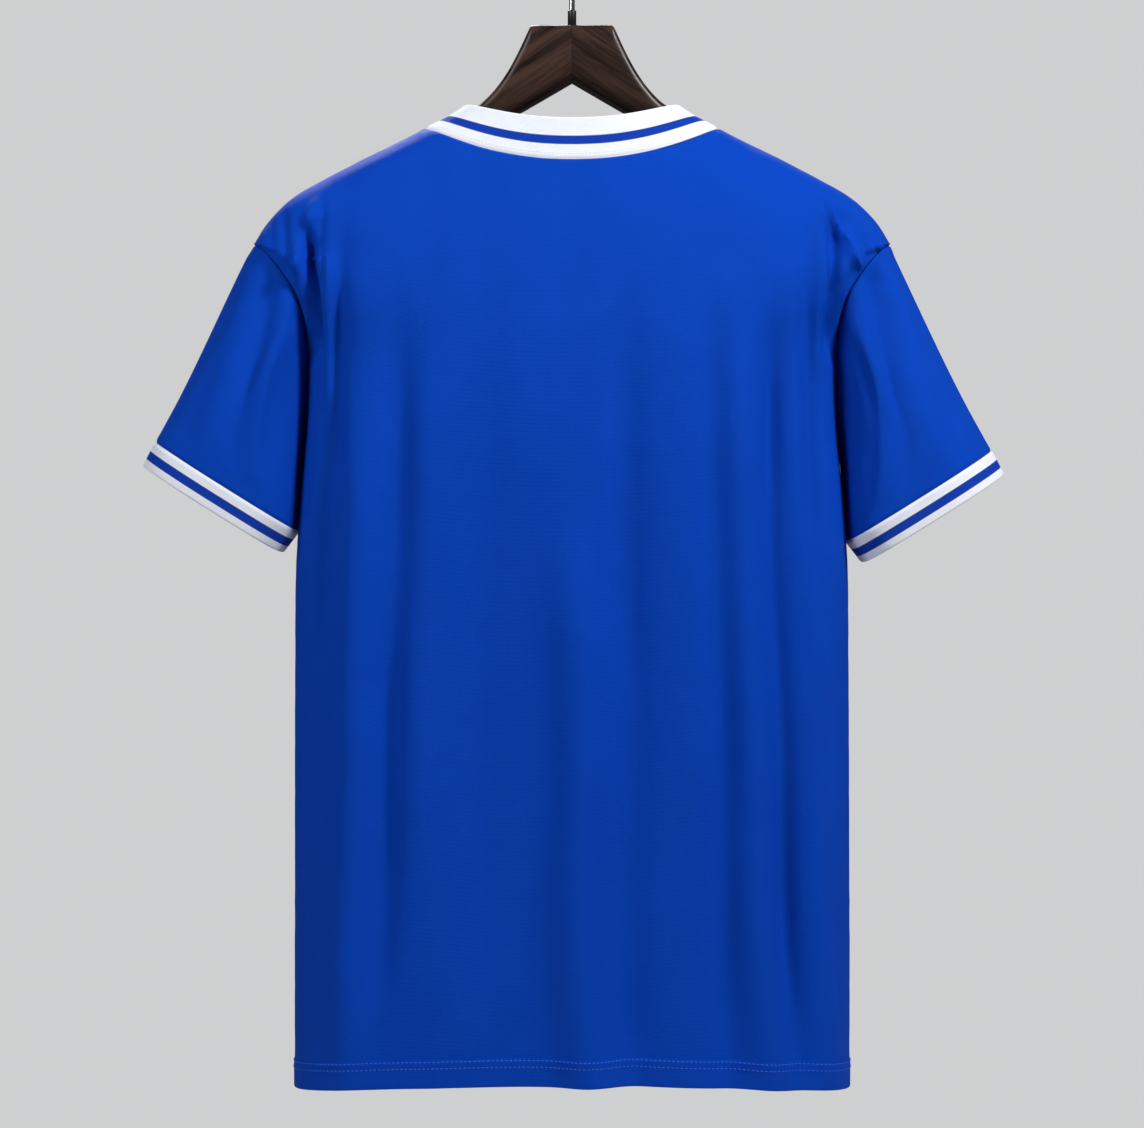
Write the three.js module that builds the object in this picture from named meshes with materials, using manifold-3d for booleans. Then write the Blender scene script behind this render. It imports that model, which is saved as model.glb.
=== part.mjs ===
import * as THREE from 'three';
import { mergeVertices } from 'three/addons/utils/BufferGeometryUtils.js';
import Module from 'manifold-3d';

// Football jersey hung on a wooden hanger, in millimetres, +Z up.
// The origin is inside the top of the hook, where a rail carries it.
// The wearer's front faces -Y and the wearer's left side is +X.
// "down" is a distance below the rail, "out" one from the middle, "back" one towards +Y.

const wasm = await Module();
wasm.setup();

// Cloth
const clothWall = 1.5;
const ribWall = 2.4;
const ribProud = 0.4;
const seamGap = 0.3;
const hemDepth = 19;
const hemProud = 0.8;
const hemStep = 1.2;
const hemDown = { middle: 857, side: 865 };

// Neckline and ribs
const backNeckDown = 183;
const frontNeckDown = 246;
const neckCurvePower = 2.2;
const collarWidth = 32;
const cuffDepth = 20;
const cuffTaper = 0.97;

// Grid of a panel: columns across, rows up its side, and rings along a sleeve
const hemRows = 2;
const panelColumns = 36;
const sideRows = 13;
const armholeRows = 12;
const shoulderRows = 6;
const sleeveRings = 9;
const collarRings = 3;
const cuffRings = 2;
const endCrowding = 6;
// How far from a seam the cloth still bends to reach it
const seamReach = 26;

// Half of the body's width at each height
const bodyWidths = [
  { down: 229.4, halfWidth: 230 },
  { down: 241, halfWidth: 236.9 },
  { down: 250, halfWidth: 238 },
  { down: 262, halfWidth: 234 },
  { down: 280, halfWidth: 221.5 },
  { down: 296, halfWidth: 208.5 },
  { down: 314, halfWidth: 199.3 },
  { down: 342, halfWidth: 195.8 },
  { down: 388, halfWidth: 197.3 },
  { down: 430, halfWidth: 201.2 },
  { down: 480, halfWidth: 204.7 },
  { down: 540, halfWidth: 205.4 },
  { down: 700, halfWidth: 206 },
  { down: 865, halfWidth: 206 },
];

// How deep the body is behind and in front of its side seams at each height, and how square
// its section is, from 2 for an ellipse upwards
const bodyDepths = [
  { down: 150, backDepth: 40, frontDepth: 34, square: 2.2 },
  { down: 183, backDepth: 46, frontDepth: 42, square: 2.3 },
  { down: 241, backDepth: 57, frontDepth: 58, square: 2.5 },
  { down: 310, backDepth: 66, frontDepth: 68, square: 2.8 },
  { down: 388, backDepth: 70, frontDepth: 71, square: 3.0 },
  { down: 455, backDepth: 69, frontDepth: 70, square: 3.0 },
  { down: 540, backDepth: 67, frontDepth: 68, square: 3.0 },
  { down: 700, backDepth: 64, frontDepth: 65, square: 3.1 },
  { down: 865, backDepth: 62, frontDepth: 63, square: 3.1 },
];

// Shoulder seam from the neck, over the end of the hanger, to the top of the armhole
const shoulderSeam = [
  { out: 109, down: 154.5 },
  { out: 155.5, down: 178 },
  { out: 185, down: 193.2 },
  { out: 205, down: 204.6 },
  { out: 219, down: 216 },
  { out: 230, down: 229.4 },
  { out: 236.9, down: 241 },
];

// Back half of the armhole, from the shoulder seam down to the underarm. "lean" is how far
// the edge of the cloth there faces outwards rather than away from the middle of the hole,
// and "dive" how far the sleeve starts from it into the valley between sleeve and body.
const armholeSeam = [
  { out: 236.9, down: 241, back: 0, lean: 1.7, dive: 0 },
  { out: 226, down: 250, back: 24, lean: 1.1, dive: 0 },
  { out: 215.5, down: 262.5, back: 31, lean: 0.7, dive: 0 },
  { out: 204.5, down: 279, back: 33.5, lean: 0.45, dive: 0.15 },
  { out: 199, down: 294, back: 29, lean: 0.35, dive: 0.6 },
  { out: 196.4, down: 312, back: 20, lean: 0.35, dive: 1 },
  { out: 195.2, down: 340, back: 11, lean: 0.4, dive: 1 },
  { out: 195.8, down: 366, back: 7.5, lean: 0.5, dive: 0.7 },
  { out: 197.3, down: 388, back: 0, lean: 0.6, dive: 0 },
];

// Folds of a panel, as seen from behind the garment. Each runs from its top to its bottom
// with a bow between them; a minus depth is a trough and a plus depth a ridge.
const backFolds = [
  { topOut: 170, topDown: 215, lowOut: 181, lowDown: 560, bow: 3, width: 8, depth: -3.5 },
  { topOut: 158, topDown: 300, lowOut: 168, lowDown: 900, bow: -5, width: 14, depth: 6 },
  { topOut: 126, topDown: 250, lowOut: 146, lowDown: 860, bow: -6, width: 13, depth: -6 },
  { topOut: 112, topDown: 300, lowOut: 122, lowDown: 720, bow: -2, width: 18, depth: 4 },
  { topOut: 60, topDown: 330, lowOut: 66, lowDown: 800, bow: 5, width: 22, depth: -3 },
  { topOut: -4, topDown: 420, lowOut: -12, lowDown: 960, bow: 3, width: 19, depth: 8 },
  { topOut: -40, topDown: 250, lowOut: -45, lowDown: 930, bow: 2, width: 13, depth: -5 },
  { topOut: -74, topDown: 240, lowOut: -84, lowDown: 700, bow: 0, width: 20, depth: 3.5 },
  { topOut: -100, topDown: 260, lowOut: -116, lowDown: 930, bow: 2, width: 11, depth: -4 },
  { topOut: -117, topDown: 240, lowOut: -150, lowDown: 940, bow: 9, width: 16, depth: 8 },
  { topOut: -146, topDown: 250, lowOut: -170, lowDown: 900, bow: 9, width: 10, depth: -6 },
  { topOut: -172, topDown: 205, lowOut: -184, lowDown: 560, bow: 3, width: 7, depth: -3.5 },
  { topOut: -178, topDown: 420, lowOut: -190, lowDown: 900, bow: 3, width: 9, depth: 3 },
];
const frontFolds = [
  { topOut: 168, topDown: 215, lowOut: 180, lowDown: 560, bow: 3, width: 8, depth: -3.5 },
  { topOut: 150, topDown: 260, lowOut: 162, lowDown: 900, bow: -4, width: 14, depth: 6 },
  { topOut: 118, topDown: 300, lowOut: 134, lowDown: 930, bow: -6, width: 12, depth: -6 },
  { topOut: 84, topDown: 340, lowOut: 92, lowDown: 760, bow: 3, width: 18, depth: 4 },
  { topOut: 40, topDown: 300, lowOut: 34, lowDown: 930, bow: 4, width: 17, depth: 6 },
  { topOut: 2, topDown: 380, lowOut: -10, lowDown: 930, bow: 3, width: 12, depth: -5 },
  { topOut: -58, topDown: 320, lowOut: -72, lowDown: 930, bow: 5, width: 18, depth: 6 },
  { topOut: -96, topDown: 300, lowOut: -108, lowDown: 820, bow: -4, width: 13, depth: -5 },
  { topOut: -134, topDown: 260, lowOut: -148, lowDown: 930, bow: 5, width: 15, depth: 6 },
  { topOut: -164, topDown: 230, lowOut: -178, lowDown: 760, bow: 5, width: 10, depth: -5 },
];

// Sleeves: the middle of the cuff's upper edge, its half sizes and how far it tips outwards
const sleeveSides = [
  { name: 'left', side: 1, cuffOut: 257.2, cuffDown: 421, halfLength: 62.6, halfDepth: 49 },
  { name: 'right', side: -1, cuffOut: 258.7, cuffDown: 428, halfLength: 63.6, halfDepth: 49 },
];
const cuffTip = THREE.MathUtils.degToRad(32);
const sleeveTopPull = 62;
const sleeveUnderPull = 12;
const sleeveCuffPull = 46;
const sleeveUnderCuffPull = 26;
const sleeveDivePull = 30;
// How square the cuff is on the side that lies against the body, from 2 for an ellipse
const cuffInnerSquare = 3.2;

// Folds of a sleeve. "turn" is how far round it lies, in degrees from the shoulder towards
// the back, and "from" and "to" are parts of the way from the armhole to the cuff.
const sleeveFolds = {
  left: [
    { turn: 58, from: 0, to: 0.7, width: 13, depth: -4 },
    { turn: 100, from: 0.1, to: 0.9, width: 15, depth: 3 },
    { turn: 300, from: 0.1, to: 0.9, width: 14, depth: -4 },
  ],
  right: [
    { turn: 52, from: 0.1, to: 1, width: 14, depth: 3 },
    { turn: 84, from: 0.15, to: 1.1, width: 11, depth: -5 },
    { turn: 116, from: 0.1, to: 1, width: 12, depth: 4 },
    { turn: 290, from: 0.1, to: 0.9, width: 14, depth: -4 },
  ],
};

// Wooden hanger: upper and lower edge and half its depth at each distance from the middle
const hangerProfile = [
  { out: 0, top: 78, low: 120, halfDepth: 12.5, square: 5 },
  { out: 14, top: 78, low: 128.2, halfDepth: 12.5, square: 5 },
  { out: 28.6, top: 78, low: 136.7, halfDepth: 12.5, square: 5 },
  { out: 30.6, top: 78.8, low: 137.8, halfDepth: 12.5, square: 5 },
  { out: 32, top: 81, low: 138.7, halfDepth: 12.4, square: 5 },
  { out: 39, top: 96, low: 142.7, halfDepth: 12.2, square: 4.5 },
  { out: 47, top: 111, low: 147.4, halfDepth: 12, square: 4 },
  { out: 56, top: 124, low: 152.6, halfDepth: 11.8, square: 3.6 },
  { out: 66, top: 134.4, low: 158.5, halfDepth: 11.5, square: 3.2 },
  { out: 78, top: 142.4, low: 165.5, halfDepth: 11.2, square: 2.8 },
];
// Arms under the cloth: "full" is the part of the whole section left at the rounded end
const hangerArm = [
  { out: 95, full: 1 },
  { out: 115, full: 1 },
  { out: 135, full: 1 },
  { out: 155, full: 1 },
  { out: 175, full: 1 },
  { out: 190, full: 0.97 },
  { out: 200, full: 0.9 },
  { out: 207, full: 0.76 },
  { out: 212, full: 0.54 },
  { out: 215, full: 0.3 },
];
const hangerHalfSpan = 215;
const hangerUnderSlope = 0.585;
const hangerUnderCloth = 0.6;
const hangerArmDepth = { neck: 11, end: 12.5 };
const hangerArmSquare = 2.4;
const hangerSectionSides = 16;

// Hook and ferrule
const hookWire = 4.2;
const hookInside = 19;
const hookNeckBend = 9;
const hookEndAngle = THREE.MathUtils.degToRad(205);
const hookSink = 22;
const hookSides = 8;
const hookSteps = 40;
const ferruleOuter = 6.4;
const ferruleHeight = 11.6;
const boreDepth = 24;

const colours = {
  blue: '#1044be',
  blueWhiteRib: '#dfe4f4',
  walnut: '#2f231f',
  black: '#141414',
  chrome: '#c9ccd0',
};

const point = (x, y, z) => new THREE.Vector3(x, y, z);
const mix = THREE.MathUtils.lerp;

// Reads one column of a table at a value of another, with a smooth curve through its rows
function readTable(rows, along, at, column) {
  const last = rows.length - 1;
  const falling = rows[0][along] > rows[last][along];
  let low = 0;
  while (low < last - 1 && (falling ? at < rows[low + 1][along] : at > rows[low + 1][along])) low += 1;
  const slope = (row) => {
    const before = rows[Math.max(row - 1, 0)];
    const after = rows[Math.min(row + 1, last)];
    return (after[column] - before[column]) / (after[along] - before[along]);
  };
  const span = rows[low + 1][along] - rows[low][along];
  const t = THREE.MathUtils.clamp((at - rows[low][along]) / span, 0, 1);
  const start = (1 + 2 * t) * (1 - t) * (1 - t);
  const startSlope = t * (1 - t) * (1 - t) * span;
  const end = t * t * (3 - 2 * t);
  const endSlope = t * t * (t - 1) * span;
  return start * rows[low][column] + startSlope * slope(low)
    + end * rows[low + 1][column] + endSlope * slope(low + 1);
}

// Spreads points along a curve that is given as a function from 0 to 1. They lie evenly
// where it ends at "full"; a shorter curve crowds them towards its end only.
function spreadEvenly(curve, count, full = 1) {
  const fine = 400;
  const dense = Array.from({ length: fine + 1 }, (_, i) => curve(i / fine));
  const reach = [0];
  for (let i = 1; i <= fine; i += 1) reach.push(reach[i - 1] + dense[i].distanceTo(dense[i - 1]));
  const spread = [];
  let at = 0;
  for (let i = 0; i <= count; i += 1) {
    const part = i / count;
    const wanted = reach[fine] * (full * part - (full - 1) * part ** endCrowding);
    while (at < fine - 1 && reach[at + 1] < wanted) at += 1;
    const between = (wanted - reach[at]) / (reach[at + 1] - reach[at]);
    spread.push(dense[at].clone().lerp(dense[at + 1], THREE.MathUtils.clamp(between, 0, 1)));
  }
  return spread;
}

function arcLength(arc, from, to) {
  const steps = 60;
  let length = 0;
  let before = arc(from);
  for (let i = 1; i <= steps; i += 1) {
    const next = arc(mix(from, to, i / steps));
    length += next.distanceTo(before);
    before = next;
  }
  return length;
}

// The armhole as one closed loop on the +X side: shoulder, back, underarm, front
function armholeLoop() {
  const backHalf = armholeSeam.map((row) => point(row.out, row.back, -row.down));
  const frontHalf = armholeSeam.slice(1, -1).reverse().map((row) => point(row.out, -row.back, -row.down));
  const ring = new THREE.CatmullRomCurve3([...backHalf, ...frontHalf], true, 'centripetal');
  const steps = armholeSeam.length - 1;
  const half = (from) => spreadEvenly((t) => ring.getPoint((from + t) / 2), armholeRows);
  const back = half(0);
  const front = half(1);
  back[0] = backHalf[0];
  back[armholeRows] = backHalf[steps];
  const loop = [...back, ...front.slice(1, -1)];
  const middle = point(0, 0, 0);
  loop.forEach((p) => middle.addScaledVector(p, 1 / loop.length));
  return loop.map((p, i) => {
    const along = loop[(i + 1) % loop.length].clone().sub(loop[(i + loop.length - 1) % loop.length]).normalize();
    const away = point(0, p.y - middle.y, p.z - middle.z);
    const faces = along.clone().cross(point(1, 0, 0)).normalize();
    if (faces.dot(away) < 0) faces.negate();
    const lean = readTable(armholeSeam, 'down', -p.z, 'lean');
    faces.addScaledVector(point(1, 0, 0), lean);
    faces.addScaledVector(along, -faces.dot(along)).normalize();
    const across = faces.clone().cross(along).normalize();
    if (across.x < 0) across.negate();
    return { p, faces, across, dive: readTable(armholeSeam, 'down', -p.z, 'dive') };
  });
}

// Side edge of a panel from the hem to the neck: side seam, armhole and shoulder seam
function panelSide(loop, backwards) {
  const side = [];
  const underarm = armholeSeam[armholeSeam.length - 1].down;
  const hemTop = hemDown.side - hemDepth;
  const heights = [hemDown.side, hemTop + hemStep, hemTop];
  for (let i = 1; i < sideRows; i += 1) heights.push(mix(hemTop, underarm, i / sideRows));
  heights.forEach((down) => {
    const width = readTable(bodyWidths, 'down', down, 'halfWidth');
    side.push({ p: point(width, 0, -down), faces: point(1, 0, 0), across: point(0, backwards, 0) });
  });
  for (let i = armholeRows; i > 0; i -= 1) {
    const index = backwards > 0 || i === armholeRows ? i : loop.length - i;
    side.push({ p: loop[index].p, faces: loop[index].faces, across: loop[index].across.clone().negate() });
  }
  const seam = shoulderSeam.map((row) => point(row.out, 0, -row.down)).reverse();
  const curve = new THREE.CatmullRomCurve3(seam, false, 'centripetal');
  const steps = spreadEvenly((t) => curve.getPoint(t), shoulderRows);
  steps.forEach((p, i) => {
    const along = steps[Math.min(i + 1, shoulderRows)].clone().sub(steps[Math.max(i - 1, 0)]).normalize();
    const faces = i === 0 ? loop[0].faces : point(along.z, 0, -along.x);
    side.push({ p, faces, across: point(0, backwards, 0) });
  });
  return side;
}

// How far the folds move the cloth out at a place on a panel
function foldDepth(folds, out, down) {
  let moved = 0;
  folds.forEach((fold) => {
    const t = (down - fold.topDown) / (fold.lowDown - fold.topDown);
    if (t <= 0 || t >= 1) return;
    const middle = mix(fold.topOut, fold.lowOut, t) + fold.bow * 4 * t * (1 - t);
    const off = (out - middle) / fold.width;
    const fade = Math.min(1, Math.sin(Math.PI * t) * 1.6);
    moved += fold.depth * fade * Math.exp(-off * off);
  });
  return moved;
}

// Directions out of a grid of points, from its neighbours along and across
function gridNormals(grid, closed, outwards) {
  const rows = grid.length;
  const columns = grid[0].length;
  return grid.map((row, i) => row.map((p, j) => {
    const up = grid[Math.min(i + 1, rows - 1)][j].clone().sub(grid[Math.max(i - 1, 0)][j]);
    const right = closed ? row[(j + 1) % columns] : row[Math.min(j + 1, columns - 1)];
    const left = closed ? row[(j + columns - 1) % columns] : row[Math.max(j - 1, 0)];
    return up.cross(right.clone().sub(left)).normalize().multiplyScalar(outwards);
  }));
}

// Closed solid between an outer and an inner grid, with rims along its open edges
function shell(outer, inner, closed) {
  const rows = outer.length;
  const columns = outer[0].length;
  const positions = [];
  [outer, inner].forEach((grid) => grid.forEach((row) => row.forEach((p) => positions.push(p.x, p.y, p.z))));
  const at = (layer, i, j) => layer * rows * columns + i * columns + (j % columns);
  const faces = [];
  const quad = (a, b, c, d) => faces.push(a, b, c, a, c, d);
  const lastColumn = closed ? columns : columns - 1;
  for (let i = 0; i < rows - 1; i += 1) {
    for (let j = 0; j < lastColumn; j += 1) {
      quad(at(0, i, j), at(0, i, j + 1), at(0, i + 1, j + 1), at(0, i + 1, j));
      quad(at(1, i, j), at(1, i + 1, j), at(1, i + 1, j + 1), at(1, i, j + 1));
    }
  }
  for (let j = 0; j < lastColumn; j += 1) {
    quad(at(0, 0, j), at(1, 0, j), at(1, 0, j + 1), at(0, 0, j + 1));
    quad(at(0, rows - 1, j), at(0, rows - 1, j + 1), at(1, rows - 1, j + 1), at(1, rows - 1, j));
  }
  if (!closed) {
    for (let i = 0; i < rows - 1; i += 1) {
      quad(at(0, i, 0), at(0, i + 1, 0), at(1, i + 1, 0), at(1, i, 0));
      quad(at(0, i, columns - 1), at(1, i, columns - 1), at(1, i + 1, columns - 1), at(0, i + 1, columns - 1));
    }
  }
  return facingOut(positions, faces);
}

// Turns the faces round if they enclose a negative volume
function facingOut(positions, faces) {
  let volume = 0;
  for (let i = 0; i < faces.length; i += 3) {
    const [a, b, c] = [0, 1, 2].map((k) => point().fromArray(positions, faces[i + k] * 3));
    volume += a.dot(b.cross(c));
  }
  if (volume < 0) faces.reverse();
  const geometry = new THREE.BufferGeometry();
  geometry.setAttribute('position', new THREE.Float32BufferAttribute(positions, 3));
  geometry.setIndex(faces);
  geometry.computeVertexNormals();
  return geometry;
}

// Bends the end of a row of points onto its place on the seam
function ontoSeam(row, place) {
  const last = row.length - 1;
  const shift = place.clone().sub(row[last]);
  let left = 0;
  const moved = [...row];
  for (let i = last; i >= 0; i -= 1) {
    if (i < last) left += row[i].distanceTo(row[i + 1]);
    moved[i] = row[i].clone().addScaledVector(shift, Math.exp(-((left / seamReach) ** 2)));
  }
  return moved;
}

// Front or back panel: rows are arcs of a squared ellipse that end on the seams
function panelGrid(loop, backwards) {
  const side = panelSide(loop, backwards);
  const depthColumn = backwards > 0 ? 'backDepth' : 'frontDepth';
  const neckDown = backwards > 0 ? backNeckDown : frontNeckDown;
  const folds = backwards > 0 ? backFolds : frontFolds;
  const underarm = armholeSeam[armholeSeam.length - 1].down;
  const shoulderTip = armholeSeam[0].down;
  const neckSide = shoulderSeam[0].down;
  const half = panelColumns / 2;
  const base = side.map(({ p }) => {
    const sideDown = -p.z;
    const middleDown = sideDown > underarm
      ? mix(underarm, hemDown.middle, (sideDown - underarm) / (hemDown.side - underarm))
      : mix(underarm, neckDown, (underarm - sideDown) / (underarm - neckSide));
    const depth = readTable(bodyDepths, 'down', middleDown, depthColumn);
    const square = readTable(bodyDepths, 'down', middleDown, 'square');
    const fullWidth = sideDown > shoulderTip ? readTable(bodyWidths, 'down', sideDown, 'halfWidth') : p.x;
    const endTurn = Math.acos(Math.min(1, (Math.abs(p.y) / depth) ** (square / 2)));
    const endOut = fullWidth * Math.sin(endTurn) ** (2 / square);
    const arc = (turn) => {
      const out = fullWidth * Math.sin(turn) ** (2 / square);
      const down = mix(middleDown, sideDown, Math.min(1, out / endOut) ** neckCurvePower);
      const back = depth * Math.max(0, Math.cos(turn)) ** (2 / square);
      return point(out, backwards * back, -down);
    };
    const rest = arcLength(arc, endTurn, Math.PI / 2);
    const full = 1 + rest / arcLength(arc, 0, endTurn);
    const quarter = ontoSeam(spreadEvenly((t) => arc(endTurn * t), half, full), p);
    const mirrored = quarter.slice(1).reverse().map((q) => point(-q.x, q.y, q.z));
    return [...mirrored, ...quarter];
  });
  const normals = gridNormals(base, false, backwards);
  const last = panelColumns;
  const folded = base.map((row, i) => row.map((p, j) => {
    const nearSeam = Math.min(1, Math.min(j, last - j) / 2);
    const hem = i < hemRows ? hemProud : 0;
    const moved = foldDepth(folds, p.x, -p.z) * nearSeam + hem;
    return p.clone().addScaledVector(normals[i][j], moved);
  }));
  return { side, grid: folded };
}

function panelSolid({ side, grid }, outwards) {
  const normals = gridNormals(grid, false, outwards);
  const last = panelColumns;
  const outer = grid.map((row) => row.map((p) => p.clone()));
  const directions = normals.map((row) => row.map((n) => n.clone()));
  side.forEach(({ faces, across }, i) => {
    [0, last].forEach((j) => {
      const mirror = j === 0 ? -1 : 1;
      directions[i][j].set(faces.x * mirror, faces.y, faces.z);
      const inwards = point(across.x * mirror, across.y, across.z);
      outer[i][j].addScaledVector(inwards, seamGap / 2);
    });
  });
  const top = grid.length - 1;
  for (let j = 0; j <= last; j += 1) {
    const down = grid[top - 1][j].clone().sub(grid[top][j]).normalize();
    outer[top][j].addScaledVector(down, seamGap / 2);
  }
  const inner = outer.map((row, i) => row.map((p, j) => {
    const wall = clothWall + (i < hemRows ? hemProud : 0);
    return p.clone().addScaledVector(directions[i][j], -wall);
  }));
  return { geometry: shell(outer, inner, false), directions };
}

// Round of a sleeve's end, evenly spread in each quarter: an ellipse on its outer side and
// squarer on the side that lies against the body
function cuffRound(sleeve) {
  const quarter = (square) => spreadEvenly((t) => {
    const turn = (t * Math.PI) / 2;
    const out = Math.cos(turn) ** (2 / square) * sleeve.halfLength;
    return point(out, Math.sin(turn) ** (2 / square) * sleeve.halfDepth, 0);
  }, armholeRows / 2);
  const inner = quarter(cuffInnerSquare).map((p) => point(-p.x, p.y, 0)).reverse();
  const back = [...quarter(2).slice(0, -1), ...inner];
  const front = back.slice(1, -1).reverse().map((p) => point(p.x, -p.y, 0));
  return [...back, ...front];
}

// Directions in which the cloth faces round a sleeve's end
function cuffDirections(sleeve) {
  const round = cuffRound(sleeve);
  return round.map((_, j) => {
    const along = round[(j + 1) % round.length].clone().sub(round[(j + round.length - 1) % round.length]);
    return point(along.y * Math.cos(cuffTip), -along.x, along.y * Math.sin(cuffTip)).normalize();
  });
}

// Sleeve from the armhole to the cuff, on the +X side; the right one is mirrored after
function cuffRing(sleeve, along, scale) {
  const tipOut = Math.cos(cuffTip);
  const tipDown = Math.sin(cuffTip);
  const middle = point(sleeve.cuffOut + tipDown * along, 0, -sleeve.cuffDown - tipOut * along);
  return cuffRound(sleeve).map((p) => {
    const outwards = p.x * scale;
    return middle.clone().add(point(outwards * tipOut, p.y * scale, outwards * tipDown));
  });
}

function sleeveGrid(loop, sleeve) {
  const ring = cuffRing(sleeve, 0, 1);
  const axis = point(Math.sin(cuffTip), 0, -Math.cos(cuffTip));
  const outerLine = ring[0].clone().sub(loop[0].p).normalize();
  const grid = [];
  for (let i = 0; i <= sleeveRings; i += 1) {
    const t = i / sleeveRings;
    grid.push(loop.map(({ p, dive }, j) => {
      const under = (1 - Math.cos((2 * Math.PI * j) / loop.length)) / 2;
      const sideways = point(0.42, Math.sign(p.y), -0.3);
      const leave = outerLine.clone().lerp(point(0.12, 0, -1), under).normalize();
      leave.lerp(sideways, dive).normalize();
      const arrive = axis.clone().lerp(point(0.06, 0, -1), under).normalize();
      const pull = mix(mix(sleeveTopPull, sleeveUnderPull, Math.sqrt(under)), sleeveDivePull, dive);
      const start = p.clone().addScaledVector(leave, pull);
      const cuffPull = mix(sleeveCuffPull, sleeveUnderCuffPull, under * under);
      const end = ring[j].clone().addScaledVector(arrive, -cuffPull);
      const curve = new THREE.CubicBezierCurve3(p, start, end, ring[j]);
      return curve.getPoint(t);
    }));
  }
  const normals = gridNormals(grid, true, 1);
  const folds = sleeveFolds[sleeve.name];
  return grid.map((row, i) => row.map((p, j) => {
    const turn = (360 * j) / loop.length;
    const t = i / sleeveRings;
    let moved = 0;
    folds.forEach((fold) => {
      const part = (t - fold.from) / (fold.to - fold.from);
      if (part <= 0 || part >= 1 || i === 0 || i === sleeveRings) return;
      const off = (turn - fold.turn) / fold.width;
      moved += fold.depth * Math.sin(Math.PI * part) * Math.exp(-off * off);
    });
    return p.clone().addScaledVector(normals[i][j], moved);
  }));
}

// Closed band of cloth; its first and last edges may be told which way they face
function ringSolid(grid, wall, proud, firstFaces, lastFaces) {
  const normals = gridNormals(grid, true, 1);
  if (firstFaces) normals[0] = firstFaces;
  if (lastFaces) normals[normals.length - 1] = lastFaces;
  const outer = grid.map((row, i) => row.map((p, j) => p.clone().addScaledVector(normals[i][j], proud)));
  const inner = outer.map((row, i) => row.map((p, j) => p.clone().addScaledVector(normals[i][j], -wall)));
  return shell(outer, inner, true);
}

function sleevePieces(loop, sleeve) {
  const grid = sleeveGrid(loop, sleeve);
  const armholeFaces = loop.map((edge) => edge.faces);
  grid[0] = loop.map((edge) => edge.p.clone().addScaledVector(edge.across, seamGap / 2));
  const cuffFaces = cuffDirections(sleeve);
  const cuff = [];
  for (let i = 0; i <= cuffRings; i += 1) {
    const t = i / cuffRings;
    cuff.push(cuffRing(sleeve, seamGap + cuffDepth * t, mix(1, cuffTaper, t)));
  }
  return {
    cloth: ringSolid(grid, clothWall, 0, armholeFaces, cuffFaces),
    rib: ringSolid(cuff, ribWall, ribProud, cuffFaces, null),
  };
}

// Collar: a ring of rib that rises from the neckline and leans in towards the neck
function collarSolid(backTop, frontTop, backFaces, frontFaces) {
  const seam = [...backTop, ...frontTop.slice(1, -1).reverse()];
  const faces = [...backFaces, ...frontFaces.slice(1, -1).reverse()];
  const rise = seam.map((p, j) => {
    const along = seam[(j + 1) % seam.length].clone().sub(seam[(j + seam.length - 1) % seam.length]).normalize();
    const up = faces[j].clone().cross(along).normalize();
    return up.z < 0 ? up.negate() : up;
  });
  const grid = [];
  for (let i = 0; i <= collarRings; i += 1) {
    const t = i / collarRings;
    grid.push(seam.map((p, j) => p.clone().addScaledVector(rise[j], seamGap / 2 + collarWidth * t)));
  }
  return ringSolid(grid, ribWall, ribProud, faces, null);
}

// Wooden hanger: sections from one end to the other, with the hook's bore cut out
function hangerSolid() {
  const stations = [...hangerProfile];
  const seamDown = (out) => readTable(shoulderSeam, 'out', out, 'down');
  const neck = hangerProfile[hangerProfile.length - 1];
  hangerArm.forEach(({ out, full }) => {
    const t = (out - neck.out) / (hangerHalfSpan - neck.out);
    const cloth = out < shoulderSeam[0].out ? ribWall : clothWall;
    const slope = (seamDown(out + 1) - seamDown(out - 1)) / 2;
    const top = seamDown(out) + (cloth + hangerUnderCloth) * Math.hypot(1, slope);
    const low = hangerProfile[0].low + hangerUnderSlope * out;
    const shrink = ((1 - full) * (low - top)) / 2;
    const halfDepth = mix(hangerArmDepth.neck, hangerArmDepth.end, t) * full;
    stations.push({ out, top: top + shrink, low: low - shrink, halfDepth, square: hangerArmSquare });
  });
  const middle = stations[0];
  const all = [...stations.slice(1).reverse().map((s) => ({ ...s, out: -s.out })), middle, ...stations.slice(1)];
  const positions = [];
  all.forEach((s) => {
    const centre = (s.top + s.low) / 2;
    const halfHeight = (s.low - s.top) / 2;
    for (let k = 0; k < hangerSectionSides; k += 1) {
      const turn = (2 * Math.PI * (k + 0.5)) / hangerSectionSides;
      const c = Math.cos(turn);
      const n = Math.sin(turn);
      const back = Math.sign(c) * Math.abs(c) ** (2 / s.square) * s.halfDepth;
      const up = Math.sign(n) * Math.abs(n) ** (2 / s.square) * halfHeight;
      positions.push(s.out, back, -centre + up);
    }
  });
  const faces = [];
  const sides = hangerSectionSides;
  for (let i = 0; i < all.length - 1; i += 1) {
    for (let k = 0; k < sides; k += 1) {
      const a = i * sides + k;
      const b = i * sides + ((k + 1) % sides);
      faces.push(a, b, b + sides, a, b + sides, a + sides);
    }
  }
  [0, all.length - 1].forEach((i) => {
    for (let k = 1; k < sides - 1; k += 1) {
      const fan = [i * sides, i * sides + k, i * sides + k + 1];
      faces.push(...(i === 0 ? fan.reverse() : fan));
    }
  });
  return facingOut(positions, faces);
}

function toManifold(geometry) {
  const bare = geometry.clone();
  bare.deleteAttribute('normal');
  bare.deleteAttribute('uv');
  const merged = mergeVertices(bare, 1e-4);
  return new wasm.Manifold(new wasm.Mesh({
    numProp: 3,
    vertProperties: new Float32Array(merged.attributes.position.array),
    triVerts: new Uint32Array(merged.index.array),
  }));
}

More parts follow.
